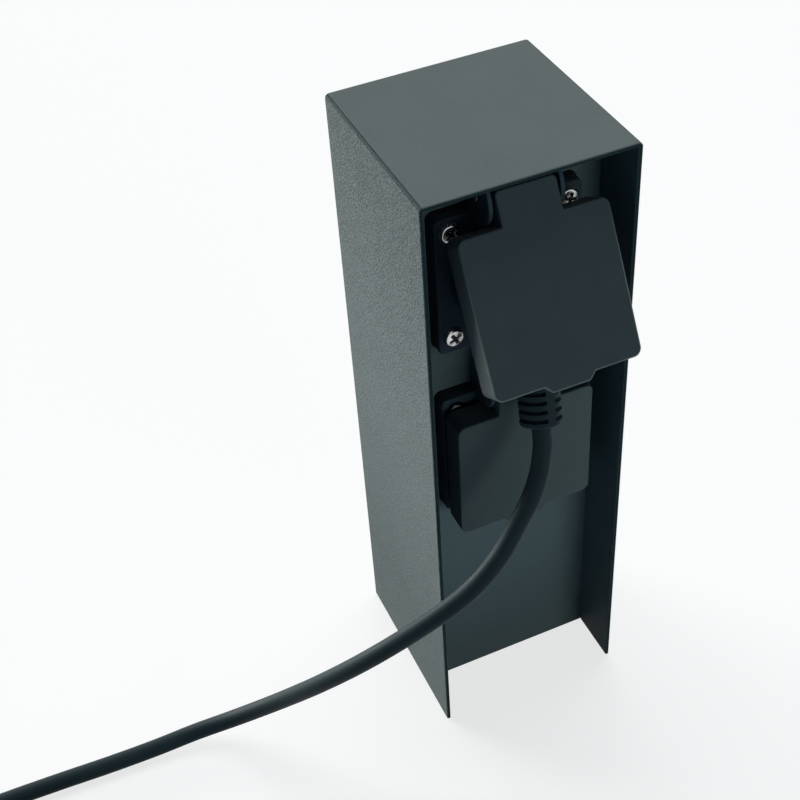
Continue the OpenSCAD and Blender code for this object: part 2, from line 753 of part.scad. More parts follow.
// The earth strap: two spring arms in the well, folded round the back of the insert.
module earth_clip(z) {
  rear = frame_rear - insert_flange_t;
  half = earth_side / 2;
  color("goldenrod") at_outlet(z) {
    for (s = [-1, 1]) scale([1, 1, s]) {
      block(-clip_w / 2, clip_w / 2, rear - clip_t, clip_out, clip_z, clip_z + clip_t);
      block(-clip_w / 2, clip_w / 2, rear - clip_t, rear, block_half_z, clip_z + clip_t);
      block(-clip_w / 2, clip_w / 2, insert_rear - clip_t, rear, block_half_z, block_half_z + clip_t);
    }
    block(
      -clip_w / 2, clip_w / 2, insert_rear - clip_t, insert_rear,
      -block_half_z - clip_t, block_half_z + clip_t
    );
    block(-half, half, insert_rear - clip_t - earth_side, insert_rear - clip_t, -half, half);
  }
}

// The cap behind an outlet, with slots above and below for the wires.
module back_cap(z) {
  r = collar_r - slide_gap;
  color("gray") at_outlet(z) difference() {
    rod(r, cap_rear, frame_rear);
    rod(r - cap_wall, cap_rear + 2, frame_rear + eps);
    block(-cap_slot_half_w, cap_slot_half_w, cap_rear + 3, insert_rear + 3, -2 * r, 2 * r);
  }
}

// A lid in its closed place: a pillow-edged tray, its thumb tab, and the hollow hinge tongue.
module lid_shell() {
  rim = lid_front - lid_depth;
  difference() {
    intersection() {
      translate([0, 0, lid_mid]) slab(lid_w, lid_h, lid_r, rim, lid_front);
      translate([0, -rim, lid_mid - lid_h / 2]) mirror([0, 1, 0]) linear_extrude(lid_h)
        round_front(lid_w, lid_depth, lid_edge);
      translate([-lid_w / 2, -rim, lid_mid]) rotate([90, 0, 90]) linear_extrude(lid_w)
        rotate(90) round_front(lid_h, lid_depth, lid_edge);
    }
    translate([0, 0, lid_mid])
      slab(lid_w - 2 * lid_wall, lid_h - 2 * lid_wall, lid_r - lid_wall, rim - eps, lid_front - lid_wall);
  }
}

module lid_tab() {
  edge = lid_shoulder - lid_h;
  translate([0, -lid_front + 6 + lid_edge, 0]) rotate([90, 0, 0]) linear_extrude(6) polygon([
    [-tab_w / 2 - 2, edge + eps], [-tab_w / 2 + 1, edge - tab_drop], [tab_w / 2 - 1, edge - tab_drop],
    [tab_w / 2 + 2, edge + eps], [tab_w / 2 + 2, edge + 1], [-tab_w / 2 - 2, edge + 1]
  ]);
}

// The tongue's side view, as [distance ahead of the panel, height].
module tongue_profile() {
  polygon([
    [lid_front, lid_shoulder - lid_wall], [lid_front, tongue_top - tongue_edge],
    [lid_front - tongue_edge, tongue_top], [hinge_out, tongue_top],
    [hinge_out - knuckle_r, hinge_up], [hinge_out - 1, lid_shoulder - lid_wall]
  ]);
  translate([lid_front - tongue_edge, tongue_top - tongue_edge]) circle(tongue_edge, $fn = small_fn);
  translate([hinge_out, hinge_up]) circle(knuckle_r, $fn = small_fn);
}

module tongue_slice(x0, x1) {
  translate([x0, 0, 0]) rotate([90, 0, 90]) linear_extrude(x1 - x0) mirror([1, 0]) children();
}

module lid_tongue() {
  half = tongue_w / 2;
  difference() {
    tongue_slice(-half, half) tongue_profile();
    block(
      -half + knuckle_t, half - knuckle_t, 0, lid_front - lid_wall, lid_shoulder, tongue_top - lid_wall
    );
    block(
      -half + knuckle_t, half - knuckle_t, 0, hinge_out + knuckle_r + 0.5,
      lid_shoulder, tongue_top + knuckle_r
    );
  }
}

module closed_lid() {
  difference() {
    union() {
      lid_shell();
      lid_tab();
      lid_tongue();
    }
    translate([-lid_w, -hinge_out, hinge_up]) rotate([0, 90, 0])
      cylinder(r = pin_r + run_gap, h = 2 * lid_w, $fn = small_fn);
  }
}

module closed_seal() {
  difference() {
    rod(seal_r_out, lid_front - lid_wall - seal_h, lid_front - lid_wall);
    rod(seal_r_in, lid_front - lid_wall - seal_h - eps, lid_front - lid_wall + eps);
  }
}

// Turns a lid's pieces open about the hinge axis.
module swung(angle) {
  translate([0, -hinge_out, hinge_up]) rotate([-angle, 0, 0])
    translate([0, hinge_out, -hinge_up]) children();
}

module lid(z, angle) {
  color("darkslategray") at_outlet(z) swung(angle) closed_lid();
}

module lid_seal(z, angle) {
  color("black") at_outlet(z) swung(angle) closed_seal();
}

module hinge_pin(z) {
  len = 2 * (ear_x + ear_t);
  color("silver") at_outlet(z) translate([-len / 2, -hinge_out, hinge_up]) rotate([0, 90, 0])
    cylinder(r = pin_r, h = len, $fn = small_fn);
}

// A torsion spring round the hinge pin: a fixed leg in front of the flange, and a leg that bears
// on the lid's shoulder and so follows the lid.
module lid_spring(z, angle) {
  turn = 360 * spring_turns + 180 - angle;
  steps = ceil(turn / 45);
  width = spring_pitch * turn / 360;
  shoulder_leg = hinge_up - lid_shoulder - spring_wire_r - rest_gap;
  winding = [
    for (k = [0 : steps]) let (a = turn * k / steps)
      [width * (k / steps - 0.5), spring_r * cos(a), spring_r * sin(a)]
  ];
  spring_path = concat(
    [winding[0] - [0, 0, flange_leg]], winding,
    [winding[steps] + shoulder_leg * [0, -sin(turn), cos(turn)]]
  );
  echo(spring_gap = least_gap(spring_path, 5) - 2 * spring_wire_r);
  color("silver") at_outlet(z) translate([0, -hinge_out, hinge_up])
    tube(spring_path, spring_wire_r, 6, [1, 0.1, 0]);
}

// The angled plug: a nose in the well, a tapered back, and a neck that turns down to the lead.
module plug_body() {
  color("black") difference() {
    union() {
      at_outlet(upper_z) turned([
        [0, face_out + slide_gap], [plug_r, face_out + slide_gap], [plug_r, plug_step],
        [plug_back_r, plug_back - 0.6], [plug_back_r - 0.6, plug_back], [0, plug_back]
      ]);
      along(relief_from - neck_len * relief_dir, relief_from) cylinder(d = relief_d, h = neck_len);
    }
    at_outlet(upper_z) for (s = [-1, 1]) scale([1, 1, s]) block(
      -plug_groove_w / 2, plug_groove_w / 2, face_out - 1, collar_out, plug_groove_z, 2 * plug_r
    );
  }
}

module plug_pins() {
  color("silver") at_outlet(upper_z) for (x = [-1, 1]) translate([x * contact_gap / 2, 0, 0])
    rod(plug_pin_d / 2, face_out + slide_gap - plug_pin_len, face_out + slide_gap);
}

module plug_earth_strips() {
  color("goldenrod") at_outlet(upper_z) for (s = [-1, 1]) scale([1, 1, s]) block(
    -plug_groove_w / 2 + 1, plug_groove_w / 2 - 1, face_out + slide_gap, collar_out - 3,
    plug_groove_z, plug_groove_z + plug_strip_t
  );
}

// Slots between the bands of a strain relief, up Z from the end where the lead leaves; a spine on
// each side joins the bands.
module relief_cuts(r, depth) {
  for (k = [0 : relief_slots - 1]) translate([0, 0, relief_first + k * relief_band_pitch]) difference() {
    cylinder(r = r + 1, h = relief_slot);
    translate([0, 0, -1]) cylinder(r = r - depth, h = relief_slot + 2);
    translate([-2 * r, -relief_spine_w / 2, -1]) cube([4 * r, relief_spine_w, relief_slot + 2]);
  }
}

module plug_strain_relief() {
  len = norm(relief_to - relief_from);
  r = relief_d / 2;
  color("black") along(relief_to, relief_from) rotate(relief_spine_turn) difference() {
    rotate_extrude() polygon([
      [0, 0], [r - 1.4, 0], [r - 0.4, 0.4], [r, 1.4], [r, len], [0, len]
    ]);
    relief_cuts(r, relief_slot_depth);
  }
}

// The lead: a free run, then a coil laid in two layers.
module lead_cord() {
  free_run = concat(
    [relief_to + cord_d * relief_dir], cord_route, [coil_entry + [2 * cord_d, 0, 0]]
  );
  path = concat([relief_to], smooth(free_run, 2), [coil_entry]);
  color("black") tube(path, cord_d / 2, 10, [0, 1, 0]);
}

function ease(t) = t * t * (3 - 2 * t);

function coil_point(a) =
  let (
    r = coil_inner_r + coil_pitch * abs(a - coil_mid) / 360,
    z = coil_z + coil_pitch * ease(min(max((a - coil_mid + 90) / 180, 0), 1))
  )
  [coil_centre[0] + r * cos(a), coil_centre[1] + r * sin(a), z];

module lead_coil() {
  from = coil_point(coil_end);
  coil_path = concat(
    [coil_entry],
    [for (a = [coil_start : 360 / coil_rings : coil_end]) coil_point(a)],
    [
      for (k = [1 : 4])
        [from[0] + coil_tail * k / 4, from[1], from[2] + (coupling_at[2] - from[2]) * ease(k / 4)]
    ],
    [coupling_at]
  );
  echo(coil_gap = least_gap(coil_path, coil_rings / 2) - cord_d);
  color("black") tube(coil_path, cord_d / 2, 6, [0, 0, 1]);
}

// The tie: a strap loop round the bundle of turns, at the side that faces the post.
module coil_tie() {
  r0 = coil_inner_r + coil_pitch / 2 - cord_d / 2 - 4 * tie_gap;
  r1 = coil_inner_r + coil_pitch * (coil_turns / 2 - 0.75) + cord_d / 2 + 2 * tie_gap;
  z1 = coil_z + coil_pitch + cord_d / 2 + tie_gap;
  bend = 2;
  color("dimgray") translate([coil_centre[0], coil_centre[1] + tie_w / 2, 0])
    rotate([90, 0, 0]) linear_extrude(tie_w) translate([(r0 + r1) / 2, (z1 + tie_t) / 2])
      difference() {
        round_rect(r1 - r0 + 2 * tie_t, z1 + tie_t, bend + tie_t);
        round_rect(r1 - r0, z1 - tie_t, bend);
      }
}

// The coupling at the far end lies on its side, its well facing +X.
module at_coupling(x) {
  translate(coupling_at + [x, 0, 0]) rotate([0, 90, 0]) children();
}

module coupling_relief() {
  r = relief_d / 2;
  color("black") at_coupling(0) difference() {
    rotate_extrude() polygon([
      [0, 0], [r - 1.4, 0], [r - 0.4, 0.4], [r, 1.4],
      [r, coupling_relief_len], [0, coupling_relief_len]
    ]);
    relief_cuts(r, relief_slot_depth);
  }
}

module coupling_body() {
  r = coupling_r;
  color("black") at_coupling(coupling_relief_len) difference() {
    rotate_extrude() polygon([
      [0, 0], [relief_d / 2 + 2, 0], [r - 3, 12], [r, 20],
      [r, coupling_len - 1.5], [r - 1.5, coupling_len], [0, coupling_len]
    ]);
    translate([0, 0, coupling_len - well_depth - 8]) cylinder(r = well_r, h = well_depth + 8 + eps);
  }
}

module coupling_face() {
  color("dimgray") at_coupling(coupling_relief_len + coupling_len - well_depth - 8) difference() {
    cylinder(r = well_r - slide_gap, h = 8);
    for (y = [-1, 1]) translate([0, y * contact_gap / 2, 2])
      cylinder(r = contact_hole_r, h = 8, $fn = small_fn);
  }
}

hood();
socket_panel();
panel_nuts();
rear_cover();
rear_cover_screws();
base_plate();
base_nuts();
entry_bush();
cord_grip();
cord_grip_screws();
terminal_block();
terminal_screws();
terminal_nuts();
earth_nut();
live_wires();
neutral_wires();
earth_wires();
socket_frame(upper_z);  // upper_socket_frame
gasket(upper_z);  // upper_gasket
frame_screws(upper_z);  // upper_frame_screws
frame_nuts(upper_z);  // upper_frame_nuts
insert(upper_z);  // upper_insert
insert_screws(upper_z);  // upper_insert_screws
contacts(upper_z);  // upper_contacts
earth_clip(upper_z);  // upper_earth_clip
back_cap(upper_z);  // upper_back_cap
lid(upper_z, upper_open);  // upper_lid
lid_seal(upper_z, upper_open);  // upper_lid_seal
hinge_pin(upper_z);  // upper_hinge_pin
lid_spring(upper_z, upper_open);  // upper_lid_spring
socket_frame(lower_z);  // lower_socket_frame
gasket(lower_z);  // lower_gasket
frame_screws(lower_z);  // lower_frame_screws
frame_nuts(lower_z);  // lower_frame_nuts
insert(lower_z);  // lower_insert
insert_screws(lower_z);  // lower_insert_screws
contacts(lower_z);  // lower_contacts
earth_clip(lower_z);  // lower_earth_clip
back_cap(lower_z);  // lower_back_cap
lid(lower_z, 0);  // lower_lid
lid_seal(lower_z, 0);  // lower_lid_seal
hinge_pin(lower_z);  // lower_hinge_pin
lid_spring(lower_z, 0);  // lower_lid_spring
plug_body();
plug_pins();
plug_earth_strips();
plug_strain_relief();
lead_cord();
lead_coil();
coil_tie();
coupling_relief();
coupling_body();
coupling_face();
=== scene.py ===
# %% [markdown]
# # A garden socket post, dressed for rendering
# The post is a strip of steel sheet, folded over the top like a hood and powder coated. A panel set
# back in its open front carries two outlets with sprung lids, and a rubber extension lead is
# plugged into the upper one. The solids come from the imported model, in metres, and stay where they
# are. This lesson gives them rounded edges, real finishes, light and a camera.

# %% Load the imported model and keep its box
import math

import bmesh
import bpy
import numpy as np
from mathutils import Matrix


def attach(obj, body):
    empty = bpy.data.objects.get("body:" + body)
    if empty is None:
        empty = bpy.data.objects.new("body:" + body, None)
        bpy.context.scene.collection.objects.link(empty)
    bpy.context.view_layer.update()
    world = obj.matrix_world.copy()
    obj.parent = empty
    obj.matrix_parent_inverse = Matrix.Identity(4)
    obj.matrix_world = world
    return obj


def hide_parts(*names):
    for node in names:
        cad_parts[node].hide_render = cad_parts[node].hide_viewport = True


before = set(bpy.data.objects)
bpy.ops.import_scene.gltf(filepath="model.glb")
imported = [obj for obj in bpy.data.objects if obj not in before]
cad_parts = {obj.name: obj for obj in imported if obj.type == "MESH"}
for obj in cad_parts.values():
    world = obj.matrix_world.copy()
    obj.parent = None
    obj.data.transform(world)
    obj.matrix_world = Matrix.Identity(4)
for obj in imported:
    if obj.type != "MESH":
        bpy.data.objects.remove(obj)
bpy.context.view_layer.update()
scene = bpy.context.scene
MM = 0.001

# %% [markdown]
# ## The camera
# A photograph's own perspective tells where its camera stood: the corners of a box of known shape
# fix the eye point and the focal length. Here the eye is 0.7 m from the middle of the post and well
# above it, looking down at 42 degrees with a slight roll. The three unit vectors are the camera's
# own axes.

# %% Camera at the photograph's eye point
def axes_matrix(right, up, back, at):
    """The world matrix of an object from its own X, Y and Z directions and its place."""
    return Matrix(np.vstack([np.column_stack([right, up, back, at]), [0, 0, 0, 1]]).tolist())


EYE = np.array([-223.959, -468.358, 645.979]) * MM
CAMERA_RIGHT = np.array([0.913151, -0.403778, -0.055848])
CAMERA_UP = np.array([0.309568, 0.597817, 0.739448])
CAMERA_BACK = np.array([-0.265186, -0.692516, 0.670893])
camera_data = bpy.data.cameras.new("photo_camera")
camera_data.sensor_width = 36.0
camera_data.lens = 63.69
camera = bpy.data.objects.new("photo_camera", camera_data)
scene.collection.objects.link(camera)
camera.matrix_world = axes_matrix(CAMERA_RIGHT, CAMERA_UP, CAMERA_BACK, EYE)
scene.camera = camera
scene.view_settings.view_transform = "Standard"
print("camera height above the ground: %.3f m" % EYE[2])

# %% [markdown]
# ## Small helpers for finishes
# Colours are written as sRGB hex values, as a colour picker shows them, and one function turns them
# into the linear values that shaders use. Another adds a node: it takes the node's kind, its
# settings and, for each input, either a value or the output to link. The rest are the few kinds of
# node that every finish here needs, so that a finish reads like a formula.

# %% Colour and node helpers
def linear(hex_colour):
    """Linear red, green, blue and alpha of an sRGB hex colour: low values are divided by 12.92, the
    others follow a power of 2.4 after an offset of 0.055."""
    c = np.array([int(hex_colour[i:i + 2], 16) for i in (1, 3, 5)]) / 255
    return (*np.where(c <= 0.04045, c / 12.92, ((c + 0.055) / 1.055) ** 2.4).tolist(), 1.0)


def add(tree, kind, inputs=None, **settings):
    """Adds a node; inputs maps a socket's name or number to a value or to an output to link."""
    node = tree.nodes.new(kind)
    for name, value in settings.items():
        setattr(node, name, value)
    for key, value in (inputs or {}).items():
        if isinstance(value, bpy.types.NodeSocket):
            tree.links.new(value, node.inputs[key])
        else:
            node.inputs[key].default_value = value
    return node


def new_material(name):
    """An empty node material and its tree."""
    material = bpy.data.materials.new(name)
    material.use_nodes = True
    material.node_tree.nodes.clear()
    return material, material.node_tree


def object_place(tree):
    """The shaded point in the object's own coordinates, in metres."""
    return add(tree, "ShaderNodeTexCoord").outputs["Object"]


def per_mm(size_mm):
    """Pattern scale at which one feature is size_mm wide."""
    return 1 / (size_mm * MM)


def noise(tree, place, size_mm, detail):
    inputs = {"Vector": place, "Scale": per_mm(size_mm), "Detail": detail}
    return add(tree, "ShaderNodeTexNoise", inputs).outputs["Fac"]


def maths(tree, operation, *terms):
    """One step of arithmetic; MULTIPLY_ADD is the first times the second plus the third."""
    node = add(tree, "ShaderNodeMath", dict(enumerate(terms)), operation=operation)
    return node.outputs["Value"]


def remap(tree, value, low, high, start=0.0, end=1.0):
    """Carries the range from start to end over to low to high, and holds the value at both ends."""
    inputs = {"Value": value, "From Min": start, "From Max": end, "To Min": low, "To Max": high}
    return add(tree, "ShaderNodeMapRange", inputs).outputs["Result"]


def span(tree, value, limits_mm, low=0.0, high=1.0):
    """Goes from low to high while a length goes from the one limit to the other."""
    return remap(tree, value, low, high, limits_mm[0] * MM, limits_mm[1] * MM)


def ramp(tree, value, dark, light, start=0.0, end=1.0):
    """From the dark colour at start to the light one at end."""
    node = add(tree, "ShaderNodeValToRGB", {"Fac": value})
    for stop, at, colour in zip(node.color_ramp.elements, (start, end), (dark, light)):
        stop.position, stop.color = at, linear(colour)
    return node.outputs["Color"]


def blend(tree, factor, plain, other):
    """The plain colour where the factor is 0, the other where it is 1."""
    inputs = {"Factor": factor, 6: plain, 7: other}
    return add(tree, "ShaderNodeMix", inputs, data_type="RGBA").outputs[2]


def bump(tree, height, strength, relief_mm):
    inputs = {"Height": height, "Strength": strength, "Distance": relief_mm * MM}
    return add(tree, "ShaderNodeBump", inputs).outputs["Normal"]


def surface(tree, inputs):
    """A principled surface, linked to the material's output."""
    shader = add(tree, "ShaderNodeBsdfPrincipled", inputs)
    add(tree, "ShaderNodeOutputMaterial", {"Surface": shader.outputs["BSDF"]})


print("node helpers ready")

# %% [markdown]
# ## Powder coat
# Anthracite powder coat is polyester powder, sprayed on dry and baked. It melts into a film with a
# fine sandy grain, which shows plainly on the outsides of the two sides and hardly at all on the
# top and the front. The distance from the middle, |x|, tells the sides from the rest, so it sets
# the grain's strength, which also fades towards the foot. The grain is drawn 0.75 mm wide, because
# a finer one would vanish between the render's pixels. The sides are painted a little paler
# half-way up: painted light, for the fall-off that the distant lamps here don't give. The coat is
# darker along the middle of the hood's two bends, where |x| + z is largest, and the sheet's cut
# front edge is painted darker, a painted shade. A second coat, for the panel, is painted paler
# below the lower outlet: painted light, as thrown up from the ground.

# %% Powder coat on steel sheet
# The third colour is the darker tone of the bends and the painted shade of the front edge.
COAT_DARK, COAT_LIGHT, COAT_DARK_LINE = "#404948", "#7a8382", "#253436"
GRAIN_MM, GRAIN_RELIEF, FLECK, CLOUD_MM = 0.75, 0.38, 0.38, 28
SIDES_X, FACE_GRAIN = (48.8, 49.8), 0.12
FADE_Z, FOOT_GRAIN = (120, 260), 0.55
# Painted light on the sides: where they are painted paler, and by how much.
SIDE_LIGHT_Z, SIDE_LIGHT = (60, 330), 0.13
BEND_SUM, FRONT_Y = (382.25, 382.5), (-49.6, -49.95)
# Painted light low on the panel: where it rises, where it falls, and how strong it is.
LIGHT_RISE_Z, LIGHT_FALL_Z, PANEL_LIGHT_BELOW = (20, 90), (150, 200), 0.36


def powder_coat(name, light_below):
    """The tone is flecks times the grain's strength, plus a slow drift, plus the painted light on
    the sides (half a sine over the height), plus the painted light low on the panel, its rise times
    its fall."""
    material, tree = new_material(name)
    place = object_place(tree)
    x, y, z = add(tree, "ShaderNodeSeparateXYZ", {0: place}).outputs
    across = maths(tree, "ABSOLUTE", x)
    outside = span(tree, across, SIDES_X, FACE_GRAIN, 1.0)
    coarse = maths(tree, "MULTIPLY", outside, span(tree, z, FADE_Z, FOOT_GRAIN, 1.0))
    grain = noise(tree, place, GRAIN_MM, 1.0)
    flecks = remap(tree, grain, -FLECK, FLECK, 0.32, 0.68)
    drift = remap(tree, noise(tree, place, CLOUD_MM, 2.0), 0.44, 0.56)
    tone = maths(tree, "MULTIPLY_ADD", flecks, coarse, drift)
    # Painted light: the sides are painted paler half-way up.
    side_light = maths(tree, "SINE", span(tree, z, SIDE_LIGHT_Z, 0.0, math.pi))
    tone = maths(tree, "MULTIPLY_ADD", remap(tree, side_light, -SIDE_LIGHT, SIDE_LIGHT), outside, tone)
    # Painted light: paler low on the panel, rising from the foot and fading out below the lower
    # outlet.
    rise, fall = span(tree, z, LIGHT_RISE_Z, 0.0, light_below), span(tree, z, LIGHT_FALL_Z, 1.0, 0.0)
    tone = maths(tree, "MULTIPLY_ADD", rise, fall, tone)
    # The bends are darker, and the cut front edge carries painted shade.
    bends = span(tree, maths(tree, "ADD", across, z), BEND_SUM)
    dark_lines = maths(tree, "MAXIMUM", bends, span(tree, y, FRONT_Y))
    film = blend(tree, dark_lines, ramp(tree, tone, COAT_DARK, COAT_LIGHT), linear(COAT_DARK_LINE))
    surface(tree, {
        "Base Color": film, "Roughness": remap(tree, grain, 0.5, 0.7),
        "Normal": bump(tree, grain, coarse, GRAIN_RELIEF), "IOR": 1.5, "Specular IOR Level": 0.05})
    return material


ANTHRACITE = powder_coat("anthracite_powder_coat_on_steel", 0.0)
# The panel's coat is painted paler below the lower outlet: painted light.
ANTHRACITE_LIT_BELOW = powder_coat("anthracite_powder_coat_lit_below", PANEL_LIGHT_BELOW)
print("made", ANTHRACITE.name, "and", ANTHRACITE_LIT_BELOW.name)

# %% [markdown]
# ## Moulded plastic and rubber
# The frames, lids and plugs are injection moulded: the mould's eroded skin leaves a fine matt
# grain. Rubber is duller still. Both finishes are the same few nodes with other colours, grain and
# roughness, so one function makes them all. Where a mesh carries a mark called edge, the plastic is
# painted paler: painted highlight and painted light.

# %% Moulded plastics and rubbers
def moulded(name, dark, light, roughness, grain_mm=0.7, relief_mm=0.03, specular=0.4, light_colour=None):
    material, tree = new_material(name)
    place = object_place(tree)
    grain, cloud = noise(tree, place, grain_mm, 2.0), noise(tree, place, 16, 3.0)
    film = ramp(tree, maths(tree, "MULTIPLY_ADD", grain, 0.4, cloud), dark, light, 0.4, 1.0)
    # The edge mark is painted light: a painted highlight and, on the lower lid, painted light.
    painted_light = add(tree, "ShaderNodeAttribute", attribute_name="edge").outputs["Fac"]
    surface(tree, {
        "Base Color": blend(tree, painted_light, film, linear(light_colour or light)),
        "Roughness": remap(tree, cloud, roughness - 0.07, roughness + 0.07),
        "Normal": bump(tree, grain, 0.35, relief_mm), "IOR": 1.5, "Specular IOR Level": specular})
    return material


FRAME_NYLON = moulded("black_moulded_nylon", "#323e45", "#3d4950", 0.55, specular=0.08)
# The lids' paler colour is the colour of their painted highlight and painted light.
LID_PLASTIC = moulded("charcoal_moulded_polypropylene", "#3f4749", "#495152", 0.6, specular=0.1,
                      light_colour="#8f9689")
INSERT_PLASTIC = moulded("dark_grey_moulded_nylon", "#2c2f31", "#3a3d3f", 0.5, specular=0.2)
SOFT_RUBBER = moulded("black_seal_rubber", "#0c0d0e", "#17191a", 0.7, 0.5, specular=0.1)
LEAD_RUBBER = moulded("matt_lead_rubber", "#142226", "#1f2e32", 0.6, 0.6, specular=0.11)
GRIP_NYLON = moulded("natural_nylon", "#c9c8c0", "#dad9d1", 0.45, relief_mm=0.02)
TERMINAL_PLASTIC = moulded("off_white_polyamide", "#d9d7ce", "#e6e4dc", 0.45, relief_mm=0.02)
BROWN_PVC = moulded("brown_wire_pvc", "#4f2b1b", "#5d3422", 0.35, 0.6, 0.01)
BLUE_PVC = moulded("blue_wire_pvc", "#2c55a8", "#3b66bb", 0.35, 0.6, 0.01)
GREEN_PVC = moulded("green_yellow_wire_pvc", "#7f9a2c", "#b3b93a", 0.35, 3.0, 0.01)
print("plastics and rubbers:", LID_PLASTIC.name, LEAD_RUBBER.name)

# %% [markdown]
# ## Metals
# Screws and nuts are zinc plated: bright, with a faint haze and small scratches. The hinge pins and
# springs are plain drawn steel, and the contacts are brass strip. A metal takes its colour from its
# reflection, so the base colour carries it and metallic is 1. A mark called recess paints it dark:
# painted shade and a painted dark reflection, in the cross recesses and on some heads all over.

# %% Plated, drawn and rolled metal
def metal(name, dark, light, roughness, scratch_mm):
    material, tree = new_material(name)
    place = object_place(tree)
    haze, fine = noise(tree, place, 2.5, 4.0), noise(tree, place, scratch_mm, 2.0)
    film = ramp(tree, haze, dark, light, 0.3, 0.7)
    # Painted shade: the recess mark blends the metal to a dark grey.
    depth = add(tree, "ShaderNodeAttribute", attribute_name="recess").outputs["Fac"]
    surface(tree, {
        "Base Color": blend(tree, depth, film, linear("#2c2f31")), "Metallic": 1.0,
        "Roughness": remap(tree, fine, roughness - 0.08, roughness + 0.12),
        "Normal": bump(tree, fine, 0.2, 0.03)})
    return material


ZINC = metal("zinc_plated_steel", "#b9bcbc", "#dcdedd", 0.24, 0.5)
DRAWN_STEEL = metal("drawn_spring_steel", "#6f7273", "#8d9091", 0.4, 0.4)
BRASS = metal("rolled_brass", "#a98546", "#cfae6b", 0.32, 0.5)
print("metals:", ZINC.name, DRAWN_STEEL.name, BRASS.name)

# %% [markdown]
# ## Surfaces from arrays
# Every new piece is a grid of points: rows follow a profile, columns run round an outline, and
# quads join the neighbours. Closed columns make a tube, flat ends close it, and a profile that
# returns to its start makes a ring. The signed volume tells whether the faces look outwards.

# %% From grids of points to a finished piece
WELD_MM = 0.002


def grid_faces(rows, cols, looped):
    """Quads between the neighbouring rows and columns; columns always close, rows only if
    looped."""
    i = np.arange(rows if looped else rows - 1)[:, None]
    j = np.arange(cols)[None, :]
    below, beside = (i + 1) % rows, (j + 1) % cols
    corners = [i * cols + j, i * cols + beside, below * cols + beside, below * cols + j]
    return np.stack(np.broadcast_arrays(*corners), -1).reshape(-1, 4)


def signed_volume(points, quads):
    """Sum over the quads' triangles of the triple product of their corners, divided by six."""
    a, b, c, d = (points[quads[:, k]] for k in range(4))
    return ((a * np.cross(b, c)).sum() + (a * np.cross(c, d)).sum()) / 6


def piece(name, shells, material, stands_for, slot, body="post", sharp_deg=34, weld=False, **marks):
    """A mesh object from shells, each a (rows, columns, 3) grid in millimetres with "caps" or
    "loop". A mark is a value from 0 to 1 for each point, kept under its name for the finish to
    read."""
    points, faces, first = [], [], 0
    for grid, ends in shells:
        rows, cols = grid.shape[:2]
        flat = grid.reshape(-1, 3)
        quads = grid_faces(rows, cols, ends == "loop")
        way = -1 if signed_volume(flat - flat.mean(0), quads) < 0 else 1
        faces += (first + quads[:, ::way]).tolist()
        if ends == "caps":
            ring = np.arange(cols)
            caps = np.stack([ring[::-1], ring + (rows - 1) * cols])
            faces += (first + caps[:, ::way]).tolist()
        points.append(flat)
        first += rows * cols
    mesh = bpy.data.meshes.new(name)
    mesh.from_pydata((np.concatenate(points) * MM).tolist(), [], faces)
    for mark, values in marks.items():
        layer = mesh.attributes.new(mark, "FLOAT", "POINT")
        layer.data.foreach_set("value", np.asarray(values, np.float32))
    if weld:
        bm = bmesh.new()
        bm.from_mesh(mesh)
        bmesh.ops.remove_doubles(bm, verts=bm.verts, dist=WELD_MM * MM)
        bmesh.ops.dissolve_degenerate(bm, edges=bm.edges, dist=WELD_MM * MM)
        bmesh.ops.recalc_face_normals(bm, faces=bm.faces)
        bm.to_mesh(mesh)
        bm.free()
    mesh.shade_smooth()
    mesh.set_sharp_from_angle(angle=math.radians(sharp_deg))
    mesh.materials.append(material)
    made = bpy.data.objects.new(name, mesh)
    scene.collection.objects.link(made)
    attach(made, body)
    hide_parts(*stands_for)
    return made


def unit(v):
    """A vector, or each of many, divided by its length."""
    v = np.asarray(v, float)
    return v / np.linalg.norm(v, axis=-1, keepdims=True)


def fillet(corners, radii, closed=True, steps=8, lip=0.0):
    """A polyline with each corner turned into an arc. The arc's centre lies on the corner's
    bisector, radius / sin(half angle) away, and the arc swings from the one tangent point to the
    other. A lip adds one more point that far along both straights, so that a flat face beside the
    arc is shaded flat. Gives the points and, for a closed outline that runs anticlockwise, their
    outward unit normals."""
    p = np.asarray(corners, float)
    r = np.maximum(np.broadcast_to(np.asarray(radii, float), (len(p),)), 1e-3)[:, None]
    back, ahead = unit(np.roll(p, 1, 0) - p), unit(np.roll(p, -1, 0) - p)
    half = np.arccos(np.clip((back * ahead).sum(1), -1, 1))[:, None] / 2
    centre = p + unit(back + ahead) * r / np.sin(half)
    start = (p + back * r / np.tan(half) - centre) / r
    end = (p + ahead * r / np.tan(half) - centre) / r
    turn = (math.pi - 2 * half)[:, None]
    f = np.linspace(0, 1, steps + 1)[None, :, None]
    swing = start[:, None] * np.sin(turn * (1 - f)) + end[:, None] * np.sin(turn * f)
    swing = swing / np.sin(turn)
    side = np.sign(back[:, 1] * ahead[:, 0] - back[:, 0] * ahead[:, 1])[:, None, None]
    points = centre[:, None] + r[:, None] * swing
    if lip:
        points = np.concatenate([points[:, :1] + lip * back[:, None], points,
                                 points[:, -1:] + lip * ahead[:, None]], 1)
        swing = np.concatenate([swing[:, :1], swing, swing[:, -1:]], 1)
    if closed:
        return points.reshape(-1, 2), (swing * side).reshape(-1, 2)
    return np.concatenate([p[:1], points[1:-1].reshape(-1, 2), p[-1:]])


def rectangle(left, right, low, high):
    """Its four corners, anticlockwise."""
    return np.array([[left, low], [right, low], [right, high], [left, high]], float)


